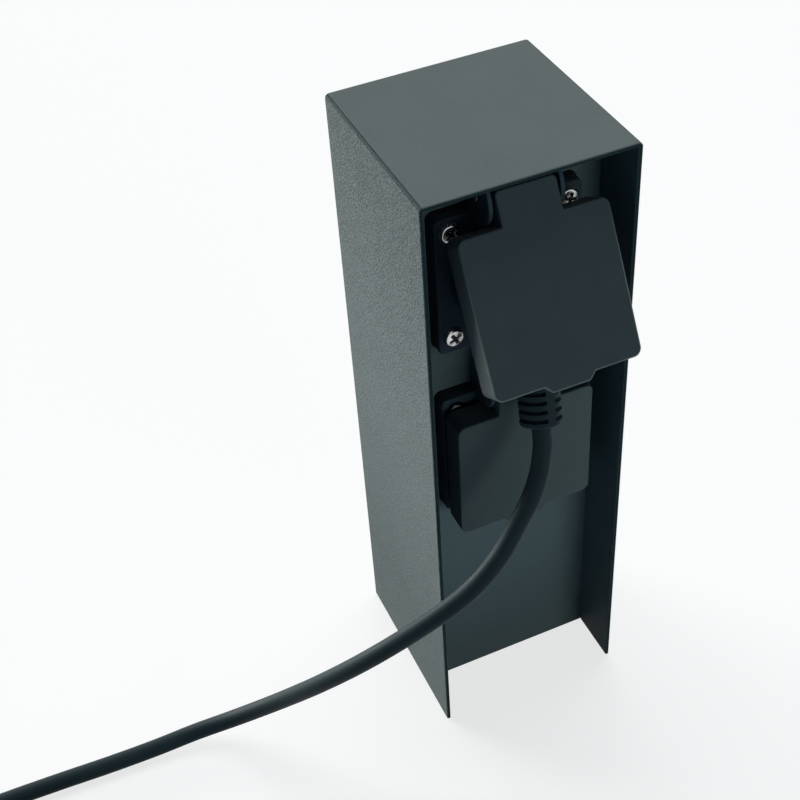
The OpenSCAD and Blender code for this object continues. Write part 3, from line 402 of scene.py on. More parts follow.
def soft_edge(edge, front, back, steps=5, lip=0.25):
    """Profile rows (inset, place) of a plate: a flat lip, a quarter round, the wall, a quarter
    round and a flat lip, so that the plate's faces stay flat and only its edges turn."""
    q = np.linspace(0, math.pi / 2, steps + 1)
    round_in, drop = edge * (1 - np.sin(q)), edge * (1 - np.cos(q))
    way = math.copysign(1, back - front)
    return np.concatenate([
        [[edge + lip, front]], np.column_stack([round_in, front + way * drop]),
        np.column_stack([round_in, back - way * drop])[::-1], [[edge + lip, back]]])


def carried(outline, normals, rows):
    """Each profile row (inset, out) draws the outline in by inset and sets it out ahead of the
    panel: columns are x and z, and y is minus out."""
    inset, out = np.asarray(rows, float).T
    xz = outline[None] - inset[:, None, None] * normals[None]
    return np.stack([xz[..., 0], np.broadcast_to(-out[:, None], xz.shape[:2]), xz[..., 1]], -1)


def turned(profile, columns=72):
    """A profile of (radius, out) rows turned about the Y axis: x = radius cos, z = radius sin."""
    radius, out = np.asarray(profile, float).T
    angle = np.linspace(0, 2 * math.pi, columns, endpoint=False)
    x, z = radius[:, None] * np.cos(angle), radius[:, None] * np.sin(angle)
    return np.stack([x, np.broadcast_to(-out[:, None], x.shape), z], -1)


def laid_along_x(grid):
    """A turned grid laid down: out becomes x, and its old x becomes y."""
    return np.stack([-grid[..., 1], grid[..., 0], grid[..., 2]], -1)


def seen_from_side(grid, side):
    """A carried grid that was drawn in side view: its x is out and its out is the distance from the
    middle, to the left or the right."""
    return np.stack([side * -grid[..., 1], -grid[..., 0], grid[..., 2]], -1)


print("surface helpers ready")

# %% [markdown]
# ## Tubes that follow a path
# A lead, a wire and a spring are all a circle carried along a curve. At each point of the path the
# circle stands square to the direction of travel. A curve through a few chosen points is smoothed
# with the Catmull-Rom formula, which passes through every point it is given.

# %% Path smoothing and tubes
def smooth_path(points, steps):
    """Catmull-Rom: between b and c, with neighbours a and d, the curve at t is b + t/2 (c - a) +
    t^2/2 (2a - 5b + 4c - d) + t^3/2 (3b - 3c + d - a)."""
    p = np.asarray(points, float)
    a, b, c, d = np.concatenate([p[:1], p[:-2]]), p[:-1], p[1:], np.concatenate([p[2:], p[-1:]])
    t = (np.arange(steps) / steps)[None, :, None]
    a, b, c, d = (q[:, None] for q in (a, b, c, d))
    cubic = (2 * a - 5 * b + 4 * c - d) + t * (3 * (b - c) + d - a)
    inner = b + t / 2 * ((c - a) + t * cubic)
    return np.concatenate([inner.reshape(-1, 3), p[-1:]])


def tube(path, radius, columns, side_on):
    """A circle of the given radius (one, or one for each point) square to the path's direction;
    side_on is a direction, or one for each point, that the path never runs along."""
    path = np.asarray(path, float)
    travel = unit(np.gradient(path, axis=0))
    across = unit(np.cross(np.broadcast_to(side_on, path.shape), travel))
    up = np.cross(travel, across)
    angle = np.linspace(0, 2 * math.pi, columns, endpoint=False)[None, :, None]
    radius = np.broadcast_to(np.asarray(radius, float), (len(path),))[:, None, None]
    return path[:, None] + radius * (np.cos(angle) * across[:, None] + np.sin(angle) * up[:, None])


print("path helpers ready")

# %% [markdown]
# ## The lead's route
# The lead is a 9 mm rubber cable. It leaves the plug's strain relief downwards, swings out of the
# niche to the left, reaches the ground and runs along it. The rest of its two metres is wound into
# a round coil in two layers: in on the lower one, up at the middle, out on the upper one to the
# coupling.

# %% Route of the lead
LEAD_D = 9.0
RELIEF_FROM = np.array([0, -51.5, 247.0])
RELIEF_TO = np.array([-4.45, -67.05, 215.4])
RELIEF_WAY = unit(RELIEF_TO - RELIEF_FROM)
FREE_RUN = [
    [-9.5, -75.5, 196.5], [-15.5, -79.5, 186.5], [-23.5, -82.5, 176.5], [-36.5, -86.5, 161.5],
    [-53, -87.5, 147], [-74, -82.5, 129.5], [-97, -71.5, 106.5], [-116.5, -53, 77],
    [-134.5, -28, 41.5], [-155, -11, 18.5], [-177.5, -2.5, 8], [-200, -0.5, 5], [-225, 0.5, 4.6],
    [-252, 2, 4.6], [-278, 3, 4.7], [-312, 3.4, 5.3],
]
COIL_CENTRE = np.array([-355.0, -60.0])
COIL_INNER_R, COIL_PITCH, COIL_TURNS, COIL_Z = 42.0, 9.5, 4.5, 5.7
COIL_OUTER_R = COIL_INNER_R + COIL_TURNS / 2 * COIL_PITCH
COIL_ENTRY = np.array([COIL_CENTRE[0] + LEAD_D, COIL_CENTRE[1] + COIL_OUTER_R, COIL_Z])
COUPLING_R, COIL_TAIL = 22.5, 44.0
COUPLING_AT = np.array([
    COIL_CENTRE[0] + COIL_TAIL + LEAD_D, COIL_CENTRE[1] - COIL_OUTER_R, COUPLING_R])


def ease(t):
    """Rises from 0 to 1 with level ends: t squared times (3 - 2 t)."""
    return t * t * (3 - 2 * t)


def coil_points(degrees):
    """A flat spiral whose radius falls by one pitch a turn to the middle and grows again after it,
    while the height eases up by one pitch over the half turn round the middle."""
    middle = 90 + COIL_TURNS * 180
    r = COIL_INNER_R + COIL_PITCH * np.abs(degrees - middle) / 360
    z = COIL_Z + COIL_PITCH * ease(np.clip((degrees - middle + 90) / 180, 0, 1))
    a = np.radians(degrees)
    return np.column_stack([COIL_CENTRE[0] + r * np.cos(a), COIL_CENTRE[1] + r * np.sin(a), z])


free_path = np.concatenate([[RELIEF_TO], smooth_path(
    [RELIEF_TO + LEAD_D * RELIEF_WAY, *FREE_RUN, COIL_ENTRY + [2 * LEAD_D, 0, 0]], 8)])
coil_path = coil_points(np.arange(90, 90 + COIL_TURNS * 360 + 1, 5))
tail_t = np.linspace(0, 1, 13)[1:, None]
tail_rise = [0, 0, COUPLING_AT[2] - coil_path[-1, 2]]
tail_path = coil_path[-1] + tail_t * [COIL_TAIL, 0, 0] + ease(tail_t) * tail_rise
lead_path = np.concatenate([free_path, [COIL_ENTRY], coil_path, tail_path, [COUPLING_AT]])

# %% [markdown]
# ## Strain reliefs
# Where a lead enters a plug, a sleeve of soft bands lets it bend without a kink. Slots part the
# bands, and a spine on each side keeps them together. The sleeve is a radius that depends on two
# numbers, the height and the angle: the full radius, less the slot's depth wherever a slot and no
# spine is.

# %% Banded sleeve as a function of height and angle
SLEEVE_R, SLEEVE_END, SPINE_W = 9.6, 1.4, 4.0
SLOTS, SLOT_FIRST, SLOT_PITCH, SLOT_W, SLOT_DEPTH, SLOT_EDGE = 6, 2.55, 4.1, 1.9, 2.6, 0.3


def sleeve(foot, top, spine_way):
    """Radius at height h and angle a: the rounded outline's radius, minus depth times slot(h) times
    (1 - spine(a)), where slot and spine are 0 or 1 with edges 0.3 mm wide."""
    axis = unit(top - foot)
    length = float(np.linalg.norm(top - foot))
    spine = unit(spine_way - axis * np.dot(spine_way, axis))
    beside = np.cross(axis, spine)
    first = SLOT_FIRST + np.arange(SLOTS) * SLOT_PITCH
    steps = np.array([0, SLOT_EDGE, SLOT_W - SLOT_EDGE, SLOT_W])
    heights = np.unique(np.concatenate([
        SLEEVE_END * (1 - np.cos(np.linspace(0, math.pi / 2, 7))), (first[:, None] + steps).ravel(),
        [first[-1] + SLOT_W + 0.6, length - 0.4, length]]).round(4))
    above, under = heights[:, None] - first, first + SLOT_W - heights[:, None]
    cut = np.clip(np.minimum(above, under) / SLOT_EDGE, 0, 1).max(1)
    end = 1 - np.clip(heights / SLEEVE_END, 0, 1)
    outline = SLEEVE_R - SLEEVE_END * (1 - np.sqrt(1 - end ** 2))
    half, lead_in = math.asin(SPINE_W / 2 / SLEEVE_R), SLOT_EDGE / SLEEVE_R
    bands = np.linspace(half + lead_in, math.pi - half - lead_in, 26)
    half_turn = np.concatenate([[0, half], bands, [math.pi - half]])
    angle = np.concatenate([half_turn, half_turn + math.pi])
    apart = np.abs((angle + math.pi / 2) % math.pi - math.pi / 2)
    open_side = np.clip((apart - half) / lead_in, 0, 1)
    radius = outline[:, None] - SLOT_DEPTH * cut[:, None] * open_side[None]
    around = np.cos(angle)[:, None] * spine + np.sin(angle)[:, None] * beside
    return foot + heights[:, None, None] * axis + radius[..., None] * around[None]


SPINE_WAY = np.array([0.12, -0.93, 0.35])
COUPLING_RELIEF_LEN, COUPLING_LEN = 30.0, 46.0
AT_COUPLING = COUPLING_AT + [COUPLING_RELIEF_LEN, 0, 0]
plug_sleeve = piece(
    "plug_strain_relief_bands", [(sleeve(RELIEF_TO, RELIEF_FROM, SPINE_WAY), "caps")], LEAD_RUBBER,
    ["plug_strain_relief"], "lead_rubber", sharp_deg=30)
coupling_sleeve = piece(
    "coupling_strain_relief_bands",
    [(sleeve(COUPLING_AT, AT_COUPLING, np.array([0, 0, 1.0])), "caps")], LEAD_RUBBER,
    ["coupling_relief"], "lead_rubber", sharp_deg=30)
print("sleeves:", len(plug_sleeve.data.polygons), "faces each")

# %% [markdown]
# ## The plug
# Only the sleeve shows from the front; the plug itself fills the upper well, and the lid leans on
# its back edge. It is an angled plug: a round nose and a tapered back with grip rings, turned on a
# lathe so to speak, and a neck that curves down into the sleeve.

# %% Plug body and neck
PANEL_Y, UPPER_Z, LOWER_Z = -20.5, 274.0, 174.0
OUTLETS = {"upper": np.array([0, PANEL_Y, UPPER_Z]), "lower": np.array([0, PANEL_Y, LOWER_Z])}
AT_UPPER = OUTLETS["upper"]
PLUG_R, PLUG_BACK_R, PLUG_NOSE, PLUG_BACK, AXIS_R = 19.4, 15.0, -0.3, 39.9, 2
GRIPS = [[19.4, 20.0], [18.7, 22.4], [19.0, 23.1], [17.9, 25.6], [18.2, 26.3], [17.1, 28.8],
         [17.4, 29.5]]
plug_profile = fillet(
    [[AXIS_R, PLUG_NOSE], [PLUG_R, PLUG_NOSE], *GRIPS, [PLUG_BACK_R, PLUG_BACK - 0.6],
     [PLUG_BACK_R - 0.9, PLUG_BACK], [AXIS_R, PLUG_BACK]],
    [0, 0.8, 0.5, *[0.25] * 6, 0.5, 0.4, 0], closed=False, steps=4)
neck_path = smooth_path([
    AT_UPPER + [0, -27, -6], AT_UPPER + [0, -29, -16], RELIEF_FROM + 0.5 * RELIEF_WAY,
    RELIEF_FROM + 1.5 * RELIEF_WAY], 8)
neck_radius = np.interp(np.linspace(0, 1, len(neck_path)), [0, 0.3, 0.8, 1],
                        [11.5, 10.6, SLEEVE_R, SLEEVE_R - 0.3])
plug = piece(
    "plug_moulding", [(turned(plug_profile) + AT_UPPER, "caps"),
                      (tube(neck_path, neck_radius, 40, [1.0, 0, 0]), "caps")],
    LEAD_RUBBER, ["plug_body"], "lead_rubber")
print("plug:", len(plug.data.polygons), "faces")

# %% [markdown]
# ## The coupling at the far end
# A rubber extension lead ends in a coupling that takes the next plug: a round rubber body with
# finger ribs, open at the front, with the contact face set deep inside. It lies on its side on the
# ground.

# %% Coupling body and face
WELL_R, WELL_FLOOR = 20.0, COUPLING_LEN - 17.5 - 8
RIBS, RIB_DEPTH, RIB_FROM, RIB_TO, RIB_FADE = 24, 1.0, 19, 36, 3
shell_profile = fillet(
    [[AXIS_R, 0.02], [11.6, 0], [19.5, 12], [COUPLING_R, 20], [COUPLING_R, COUPLING_LEN],
     [WELL_R, COUPLING_LEN], [WELL_R, WELL_FLOOR], [AXIS_R, WELL_FLOOR - 0.02]],
    [0, 1, 4, 4, 1.4, 0.6, 0.3, 0], closed=False, steps=5)
grip_rows = np.column_stack([np.full(14, COUPLING_R), np.linspace(21, 43, 14)])
grip_at = int(np.argmax(shell_profile[:, 1] > grip_rows[0, 1]))
shell_profile = np.concatenate([shell_profile[:grip_at], grip_rows, shell_profile[grip_at:]])


def coupling_turned(profile, columns=96):
    """Turned like a lathe piece about +X; on the grip the radius ripples as a cosine of the angle,
    fading towards the grip's two ends."""
    radius, along = np.asarray(profile, float).T
    angle = np.linspace(0, 2 * math.pi, columns, endpoint=False)
    fade = np.clip(np.minimum(along - RIB_FROM, RIB_TO - along) / RIB_FADE, 0, 1)
    grip = fade * (radius > COUPLING_R - 1.5)
    ripple = (0.5 - 0.5 * np.cos(RIBS * angle))[None]
    r = radius[:, None] - RIB_DEPTH * grip[:, None] * ripple
    y, z = r * np.cos(angle), r * np.sin(angle)
    return np.stack([np.broadcast_to(along[:, None], y.shape), y, z], -1)


coupling = piece("coupling_moulding", [(coupling_turned(shell_profile) + AT_COUPLING, "caps")],
                 LEAD_RUBBER, ["coupling_body"], "lead_rubber")
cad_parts["coupling_face"].data.materials[0] = INSERT_PLASTIC
print("coupling:", len(coupling.data.polygons), "faces")

# %% [markdown]
# ## The tie
# A woven hook-and-loop strap holds the coil together on the side that faces the post. It is a flat
# band wrapped once round the two layers. Two sets of waves, multiplied, draw its weave.

# %% Strap round the coil
THREAD_MM = 1.4
WEAVE, weave_tree = new_material("woven_nylon_strap")
wave_inputs = {
    "Vector": object_place(weave_tree), "Scale": per_mm(THREAD_MM) / 2, "Distortion": 0.6}
threads = [add(weave_tree, "ShaderNodeTexWave", wave_inputs, wave_type="BANDS",
               bands_direction=way).outputs["Fac"] for way in "YZ"]
cross_weave = maths(weave_tree, "MULTIPLY", *threads)
surface(weave_tree, {
    "Base Color": ramp(weave_tree, cross_weave, "#101113", "#2c2e31"), "Roughness": 0.85,
    "Normal": bump(weave_tree, cross_weave, 0.6, 0.2), "Sheen Weight": 0.3})

STRAP_T, STRAP_W = 0.9, 14.0
strap_in = COIL_INNER_R + COIL_PITCH / 2 - LEAD_D / 2 - 1.2
strap_out = COIL_INNER_R + COIL_PITCH * (COIL_TURNS / 2 - 0.75) + LEAD_D / 2 + 0.6
strap_top = COIL_Z + COIL_PITCH + LEAD_D / 2 + 0.3 + STRAP_T
strap_line, strap_normal = fillet(
    rectangle(strap_in - STRAP_T, strap_out + STRAP_T, 0, strap_top), 2.9)


def band(line, normal, rows):
    """A flat section of (inset, across) rows carried round a closed line in the XZ plane."""
    inset, across = np.asarray(rows, float).T
    xz = line[:, None] - inset[None, :, None] * normal[:, None]
    x = COIL_CENTRE[0] + xz[..., 0]
    return np.stack([x, np.broadcast_to(COIL_CENTRE[1] + across, x.shape), xz[..., 1]], -1)


section, _ = fillet(rectangle(0, STRAP_T, -STRAP_W / 2, STRAP_W / 2), 0.3, steps=3)
strap = piece("coil_strap", [(band(strap_line, strap_normal, section), "loop")], WEAVE,
              ["coil_tie"], "tie_fabric")
print("strap:", len(strap.data.polygons), "faces")

# %% [markdown]
# ## The lead itself
# One tube for the whole length. The side-on direction changes from Y to Z where the lead lies on the
# ground,
# because the coil runs along Y twice in each turn.

# %% Lead as one tube
GROUND_X, TURN_OVER = -200, 80
lying = ease(np.clip((GROUND_X - lead_path[:, 0]) / TURN_OVER, 0, 1)[:, None])
settled = np.maximum.accumulate(lying)
side_on = (1 - settled) * [0, 1.0, 0] + settled * [0, 0, 1.0]
lead = piece("lead_cable", [(tube(lead_path, LEAD_D / 2, 28, side_on), "caps")], LEAD_RUBBER,
             ["lead_cord", "lead_coil"], "lead_rubber")
print("lead:", len(lead.data.polygons), "faces")

# %% [markdown]
# ## The hood
# One strip of 2 mm sheet, bent down at both sides. Its section across the sheet is a thin rectangle
# with softened edges, and that section is carried along an upside-down U: up the right side, over
# the top and down the left. The last rings draw in a little, because a cut edge under powder coat
# is rounded. Two return edges at the back and eight weld studs for nuts belong to the same piece.

# %% Folded sheet
POST_W, POST_D, POST_H, SHEET, BEND_R, EDGE = 100.0, 100.0, 334.0, 2.0, 2.2, 0.8
u_points, u_normals = fillet(rectangle(-POST_W / 2, POST_W / 2, 0, POST_H), BEND_R, lip=0.3)
upper_half = slice(len(u_points) // 2, None)
leg = np.array([[POST_W / 2, 0], [POST_W / 2, EDGE], [-POST_W / 2, EDGE], [-POST_W / 2, 0]])
u_points = np.concatenate([leg[:2], u_points[upper_half], leg[2:]])
u_normals = np.concatenate([[[1, 0]] * 2, u_normals[upper_half], [[-1, 0]] * 2])
sheet_points, sheet_normals = fillet(
    rectangle(-POST_D / 2, POST_D / 2, -SHEET, 0), EDGE, steps=4, lip=0.15)
draw_in = np.zeros(len(u_points))
draw_in[[0, -1]] = EDGE
sheet = sheet_points[None] - draw_in[:, None, None] * sheet_normals[None]
hood_xz = u_points[:, None] + sheet[..., 1:] * u_normals[:, None]
hood_grid = np.stack([hood_xz[..., 0], sheet[..., 0], hood_xz[..., 1]], -1)

RETURN_W, RETURN_Y, FOLD_Z, INNER_W = 12.0, 46.0, 4.0, 48.0
return_top = POST_H - SHEET - BEND_R
STUD_R, STUD_LEN, STUD_TIP = 1.9, 9.0, 0.6
STUD_SPOTS = ((-11.5, 44), (-11.5, 300), (5.5, 13), (37.0, 13))
stud_profile = [[STUD_R, 0], [STUD_R, STUD_LEN - STUD_TIP], [STUD_R - 0.5, STUD_LEN]]
stud = laid_along_x(turned(stud_profile, 24))
returns, studs = [], []
for side in (-1, 1):
    left = side * (INNER_W - RETURN_W / 2) - RETURN_W / 2
    line, normal = fillet(rectangle(left, left + RETURN_W, FOLD_Z, return_top), 1.0)
    plate = carried(line, normal, soft_edge(0.3, -RETURN_Y, -RETURN_Y - SHEET))
    returns.append((plate, "caps"))
    studs += [(stud * [-side, 1, 1] + [side * INNER_W, y, z], "caps") for y, z in STUD_SPOTS]
hood = piece("hood_sheet", [(hood_grid, "caps"), *returns, *studs], ANTHRACITE, ["hood"],
             "powder_coat")
print("hood:", len(hood.data.polygons), "faces")

# %% [markdown]
# ## Panel, base and rear cover
# The set-back panel and the base are flat folded plates whose CAD shape is already right, so they
# only get the coat. The rear cover is a plate that lies flush between the sides, and its edge is
# softened.

# %% Rear cover plate
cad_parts["socket_panel"].data.materials[0] = ANTHRACITE_LIT_BELOW
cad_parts["base_plate"].data.materials[0] = ANTHRACITE
GAP, COVER_CUT = 0.2, 3.0
cover_half, cover_top = INNER_W - GAP, POST_H - SHEET - GAP
cover_line, cover_normal = fillet(
    [[-cover_half, GAP], [cover_half, GAP], [cover_half, cover_top - COVER_CUT],
     [cover_half - COVER_CUT, cover_top], [-cover_half + COVER_CUT, cover_top],
     [-cover_half, cover_top - COVER_CUT]], [0.8, 0.8, 1, 1, 1, 1])
cover_rows = soft_edge(0.4, -POST_D / 2, -POST_D / 2 + SHEET)
cover = piece("rear_cover_plate", [(carried(cover_line, cover_normal, cover_rows), "caps")],
              ANTHRACITE, ["rear_cover"], "powder_coat")
print("cover:", len(cover.data.polygons), "faces")

# %% [markdown]
# ## Screws with a cross recess
# A pan head is a low dome with a rounded rim. Its cross recess is worked out on the same polar
# grid: a point is inside an arm when it is nearer to an axis than half the arm's width and not past
# its end. Sizes are shares of the head's radius or height.

# %% Pan-head screws
RIM, DOME_FALL, RIM_FALL = 0.8, 0.25, 0.35
ARM_HALF, ARM_END, ARM_DEPTH, ARM_EDGE_MM = 0.15, 0.6, 0.5, 0.25


def inside(limit, value):
    """1 where the value is below the limit, 0 where it is above, over an edge of a quarter
    millimetre."""
    return np.clip((limit - value) / ARM_EDGE_MM + 0.5, 0, 1)


def pan_heads(centres, out_way, head_r, head_h, turns):
    """Height over radius and angle: the dome falls off with the square of the radius, the rim drops
    more steeply, and inside the cross the height drops by the recess depth. Gives the shells and,
    for each point, how far it is inside the cross."""
    angle = np.linspace(0, 2 * math.pi, 72, endpoint=False)
    rim_steps = 1 - (1 - RIM) * np.cos(np.linspace(0.2, math.pi / 2, 7))
    share = np.concatenate([np.linspace(0.04, RIM, 26), rim_steps])
    x, y = share[:, None] * head_r * np.cos(angle), share[:, None] * head_r * np.sin(angle)
    dome = head_h * (1 - DOME_FALL * share ** 2)
    rim = head_h * RIM_FALL * np.clip((share - RIM) / (1 - RIM), 0, 1) ** 2.2
    near, far = np.minimum(abs(x), abs(y)), np.maximum(abs(x), abs(y))
    arm = inside(head_r * ARM_HALF, near) * inside(head_r * ARM_END, far)
    height = (dome - rim)[:, None] - head_h * ARM_DEPTH * arm
    foot = np.zeros((1, len(angle)))
    x, y = np.vstack([x, x[-1:]]), np.vstack([y, y[-1:]])
    height, arm = np.vstack([height, foot]), np.vstack([arm, foot])
    shells = []
    for (cx, cy, cz), spin in zip(centres, turns):
        c, s = math.cos(spin), math.sin(spin)
        grid = np.stack([cx + x * c - y * s, cy + out_way * height, cz + x * s + y * c], -1)
        shells.append((grid, "caps"))
    return shells, np.tile(arm.ravel(), len(centres))


REAR_HEAD_R, FLANGE_HEAD_R, HEAD_H = 4.0, 4.7, 2.6
rear_spots = [(x, POST_D / 2, z) for x in (-42, 42) for z in (34, 312)]
rear_heads, rear_painted_shade = pan_heads(rear_spots, 1, REAR_HEAD_R, HEAD_H, (0.3, 1.1, 0.7, 0.1))
# The recess mark paints the cross recesses dark, a painted shade.
piece("rear_cover_pan_screws", rear_heads, ZINC, ["rear_cover_screws"], "zinc_steel",
      recess=rear_painted_shade)
print("screws at the back:", len(rear_spots))

# %% [markdown]
# ## Outlet frames
# Each outlet is one moulding: a square flange with round corners, a round collar with the well in
# it, and two ears that hold the hinge pin. The flange's face runs from the square outline to the
# collar's circle, so its grid joins each outline point with the circle's point at the same angle.
# The lower outlet's two upper screws are painted dark all over: painted shade and a painted dark
# reflection, where they sit in the niche's shade.

# %% Flange, collar, ears and gasket
FLANGE_HALF, FLANGE_LOW, FLANGE_R, FLANGE_OUT, GASKET_T, SCREW_AT = 35.0, -37.0, 3.0, 7.5, 1.5, 28
COLLAR_R, COLLAR_OUT, COLLAR_BACK = 28.5, 17.0, -8
HINGE_OUT, HINGE_UP, PIN_R = 11.6, 44.1, 1.5
EAR_X, EAR_T, EAR_R, EAR_BACK, EAR_FOOT = 15.4, 2.0, 12.3, 2.5, 26
# Painted shade: how dark each head of an outlet is painted all over.
HEAD_TURNS, SHADED_HEADS = (0.5, 0.9, 0.2, 1.3), {"upper": [0, 0, 0, 0], "lower": [0, 0.97, 0, 0.97]}


def refined(closed, times):
    """A closed list of points or normals with more of them, spread evenly between the old ones."""
    n = len(closed)
    at = np.linspace(0, 1, times * n, endpoint=False) * n
    return np.stack([np.interp(at, np.arange(n + 1), np.append(c, c[0])) for c in closed.T], 1)


def square_ring(grow, hole_r, edge, front, back):
    """A plate of the flange's outline with a round hole, as a closed ring of rows: hole, front
    face, edge, back face. The outline reaches a little further down than up."""
    half = FLANGE_HALF + grow
    line, normal = fillet(
        rectangle(-half, half, FLANGE_LOW - grow, half), FLANGE_R + grow, steps=10)
    line, normal = refined(line, 4), unit(refined(normal, 4))
    ring = hole_r * unit(line)
    hole = carried(ring, normal, [[0, front], [0, back]])
    return np.concatenate([hole[:1], carried(line, normal, soft_edge(edge, front, back)), hole[1:]])


collar_profile, _ = fillet(
    rectangle(WELL_R, COLLAR_R, COLLAR_BACK, COLLAR_OUT), [0.3, 0.3, 1.2, 0.8])
ear_line, ear_normal = fillet(
    [[EAR_BACK, EAR_FOOT], [FLANGE_OUT + 0.5, EAR_FOOT], [9.9, HINGE_UP - EAR_R],
     [HINGE_OUT + EAR_R, HINGE_UP - EAR_R], [HINGE_OUT + EAR_R, HINGE_UP + EAR_R],
     [EAR_BACK, HINGE_UP + EAR_R]],
    [0.5, 0.5, 1.5, EAR_R - 0.05, EAR_R - 0.05, HINGE_OUT - EAR_BACK - 0.1], steps=12)
ear_plate = carried(ear_line, ear_normal, soft_edge(0.35, EAR_X, EAR_X + EAR_T))
for name, at in OUTLETS.items():
    ears = [(seen_from_side(ear_plate, side) + at, "caps") for side in (-1, 1)]
    flange = square_ring(0, COLLAR_R - 0.3, 0.8, FLANGE_OUT, GASKET_T)
    piece(name + "_frame_moulding",
          [(flange + at, "loop"), (turned(collar_profile) + at, "loop"), *ears],
          FRAME_NYLON, [name + "_socket_frame"], "frame_black")
    gasket = square_ring(0.5, COLLAR_R + 0.5, 0.3, GASKET_T - 0.02, 0.0)
    piece(name + "_gasket_sheet", [(gasket + at, "loop")], SOFT_RUBBER, [name + "_gasket"],
          "black_rubber")
    spots = [at + [x, -FLANGE_OUT, z] for x in (-SCREW_AT, SCREW_AT) for z in (-SCREW_AT, SCREW_AT)]
    heads, cross = pan_heads(spots, -1, FLANGE_HEAD_R, HEAD_H, HEAD_TURNS)
    # Painted shade on whole heads, on top of the cross recesses' painted shade.
    cross = np.maximum(cross, np.repeat(SHADED_HEADS[name], len(cross) // len(spots)))
    piece(name + "_flange_screws", heads, ZINC, [name + "_frame_screws"], "zinc_steel",
          recess=cross)
print("frames done, flanges %g x %g mm" % (2 * FLANGE_HALF, FLANGE_HALF - FLANGE_LOW))

# %% [markdown]
# ## Lids
# A lid is a shallow tray: a flat front with a soft edge, side walls, a thumb tab below and a hinge
# tongue above. All rows share one outline. Deeper rows cut the tab and the tongue off by clamping
# their heights to the tray's own edge, so the same grid makes the front with tab and tongue and the
# plain rim behind. Each point also keeps how much painted light the plastic carries: a painted
# highlight along the soft edge of the front, and on the lower lid's front painted light all over,
# paler to the right.

# %% Tray with tab and tongue
LID_HALF, LID_TOP, LID_LOW, LID_FRONT = 34.75, 31.2, -38.2, 24.3
LID_DEPTH, LID_WALL, LID_EDGE, TAB_BACK, TONGUE_BACK = 13.4, 2.2, 0.8, 6.0, 8.6
TAB_DROP, TAB_HALF, TONGUE_HALF, TONGUE_TOP = 3.3, 12, 14.0, 46.1
UPPER_OPEN = math.radians(29.65)
OPEN = {"upper": UPPER_OPEN, "lower": 0.0}
# Painted light for each lid: the highlight on the soft edge, and the light all over the front.
LID_LIGHT = {"upper": (0.8, 0.0), "lower": (0.25, 0.17)}
FRONT_ROWS, LIGHT_TOP, LIGHT_FADE, LIGHT_SLANT = 7, 22, 30, 48
lid_line, lid_normal = fillet(
    [[-LID_HALF, LID_LOW], [-TAB_HALF, LID_LOW], [3 - TAB_HALF, LID_LOW - TAB_DROP],
     [TAB_HALF - 3, LID_LOW - TAB_DROP], [TAB_HALF, LID_LOW], [LID_HALF, LID_LOW],
     [LID_HALF, LID_TOP], [TONGUE_HALF, LID_TOP], [TONGUE_HALF, TONGUE_TOP],
     [-TONGUE_HALF, TONGUE_TOP], [-TONGUE_HALF, LID_TOP], [-LID_HALF, LID_TOP]],
    [4, 1.2, 2.2, 2.2, 1.2, 4, 4, 0.8, 2.4, 2.4, 0.8, 4], steps=10, lip=0.3)


def clamped(low, high):
    """The lid's outline with its heights clamped, and its normals turned straight down or up
    there."""
    z = np.clip(lid_line[:, 1], low, high)
    moved = np.abs(z - lid_line[:, 1]) > 1e-6
    straight = np.column_stack([np.zeros(len(z)), np.where(lid_line[:, 1] < 0, -1.0, 1.0)])
    return np.column_stack([lid_line[:, 0], z]), np.where(moved[:, None], straight, lid_normal)


def closed_lid():
    """Rows (inset, depth behind the front) from the middle of the front, over the soft edge and
    down the wall to the rim, and up the inner wall to the inner face."""
    q = np.linspace(0, math.pi / 2, 7)
    face = np.column_stack([LID_EDGE * (1 - np.sin(q)), LID_EDGE * (1 - np.cos(q))])
    front = [[LID_EDGE + 0.4, 0], *face, [0, LID_EDGE + 0.3], [0, TAB_BACK]]
    behind_tab = [[0, TAB_BACK], [0, TONGUE_BACK]]
    tray = [[0, TONGUE_BACK], [0, LID_DEPTH - 0.3], [0.3, LID_DEPTH], [LID_WALL - 0.3, LID_DEPTH],
            [LID_WALL, LID_DEPTH - 0.3], [LID_WALL, LID_WALL + 0.7], [LID_WALL + 0.7, LID_WALL],
            [LID_WALL + 1.2, LID_WALL]]
    outlines = [(lid_line, lid_normal), clamped(LID_LOW, TONGUE_TOP), clamped(LID_LOW, LID_TOP)]
    return np.concatenate([
        carried(*outline, np.array([0, LID_FRONT]) + np.array(rows) * [1, -1])
        for outline, rows in zip(outlines, (front, behind_tab, tray))])


def lid_light_rows(painted_light, front_light):
    """The painted highlight on the rows of the front's soft edge, fading out from the lid's middle
    to its shoulders. All over the front it is painted light, at least the given share in the middle,
    less at the left and more at the right, and behind it is 0."""
    rows = np.zeros((len(closed_lid()), len(lid_line)))
    rows[2:FRONT_ROWS] = painted_light * ease(np.clip((LIGHT_TOP - lid_line[:, 1]) / LIGHT_FADE, 0, 1))
    slant = front_light * (1 + lid_line[:, 0] / LIGHT_SLANT)
    rows[:FRONT_ROWS] = np.maximum(rows[:FRONT_ROWS], slant)
    return rows.ravel()


def swung(grid, angle):
    """Turned open about the hinge axis: the height and depth from the pin rotate by the angle."""
    y, z = grid[..., 1] + HINGE_OUT, grid[..., 2] - HINGE_UP
    c, s = math.cos(angle), math.sin(angle)
    return np.stack([grid[..., 0], y * c + z * s - HINGE_OUT, z * c - y * s + HINGE_UP], -1)


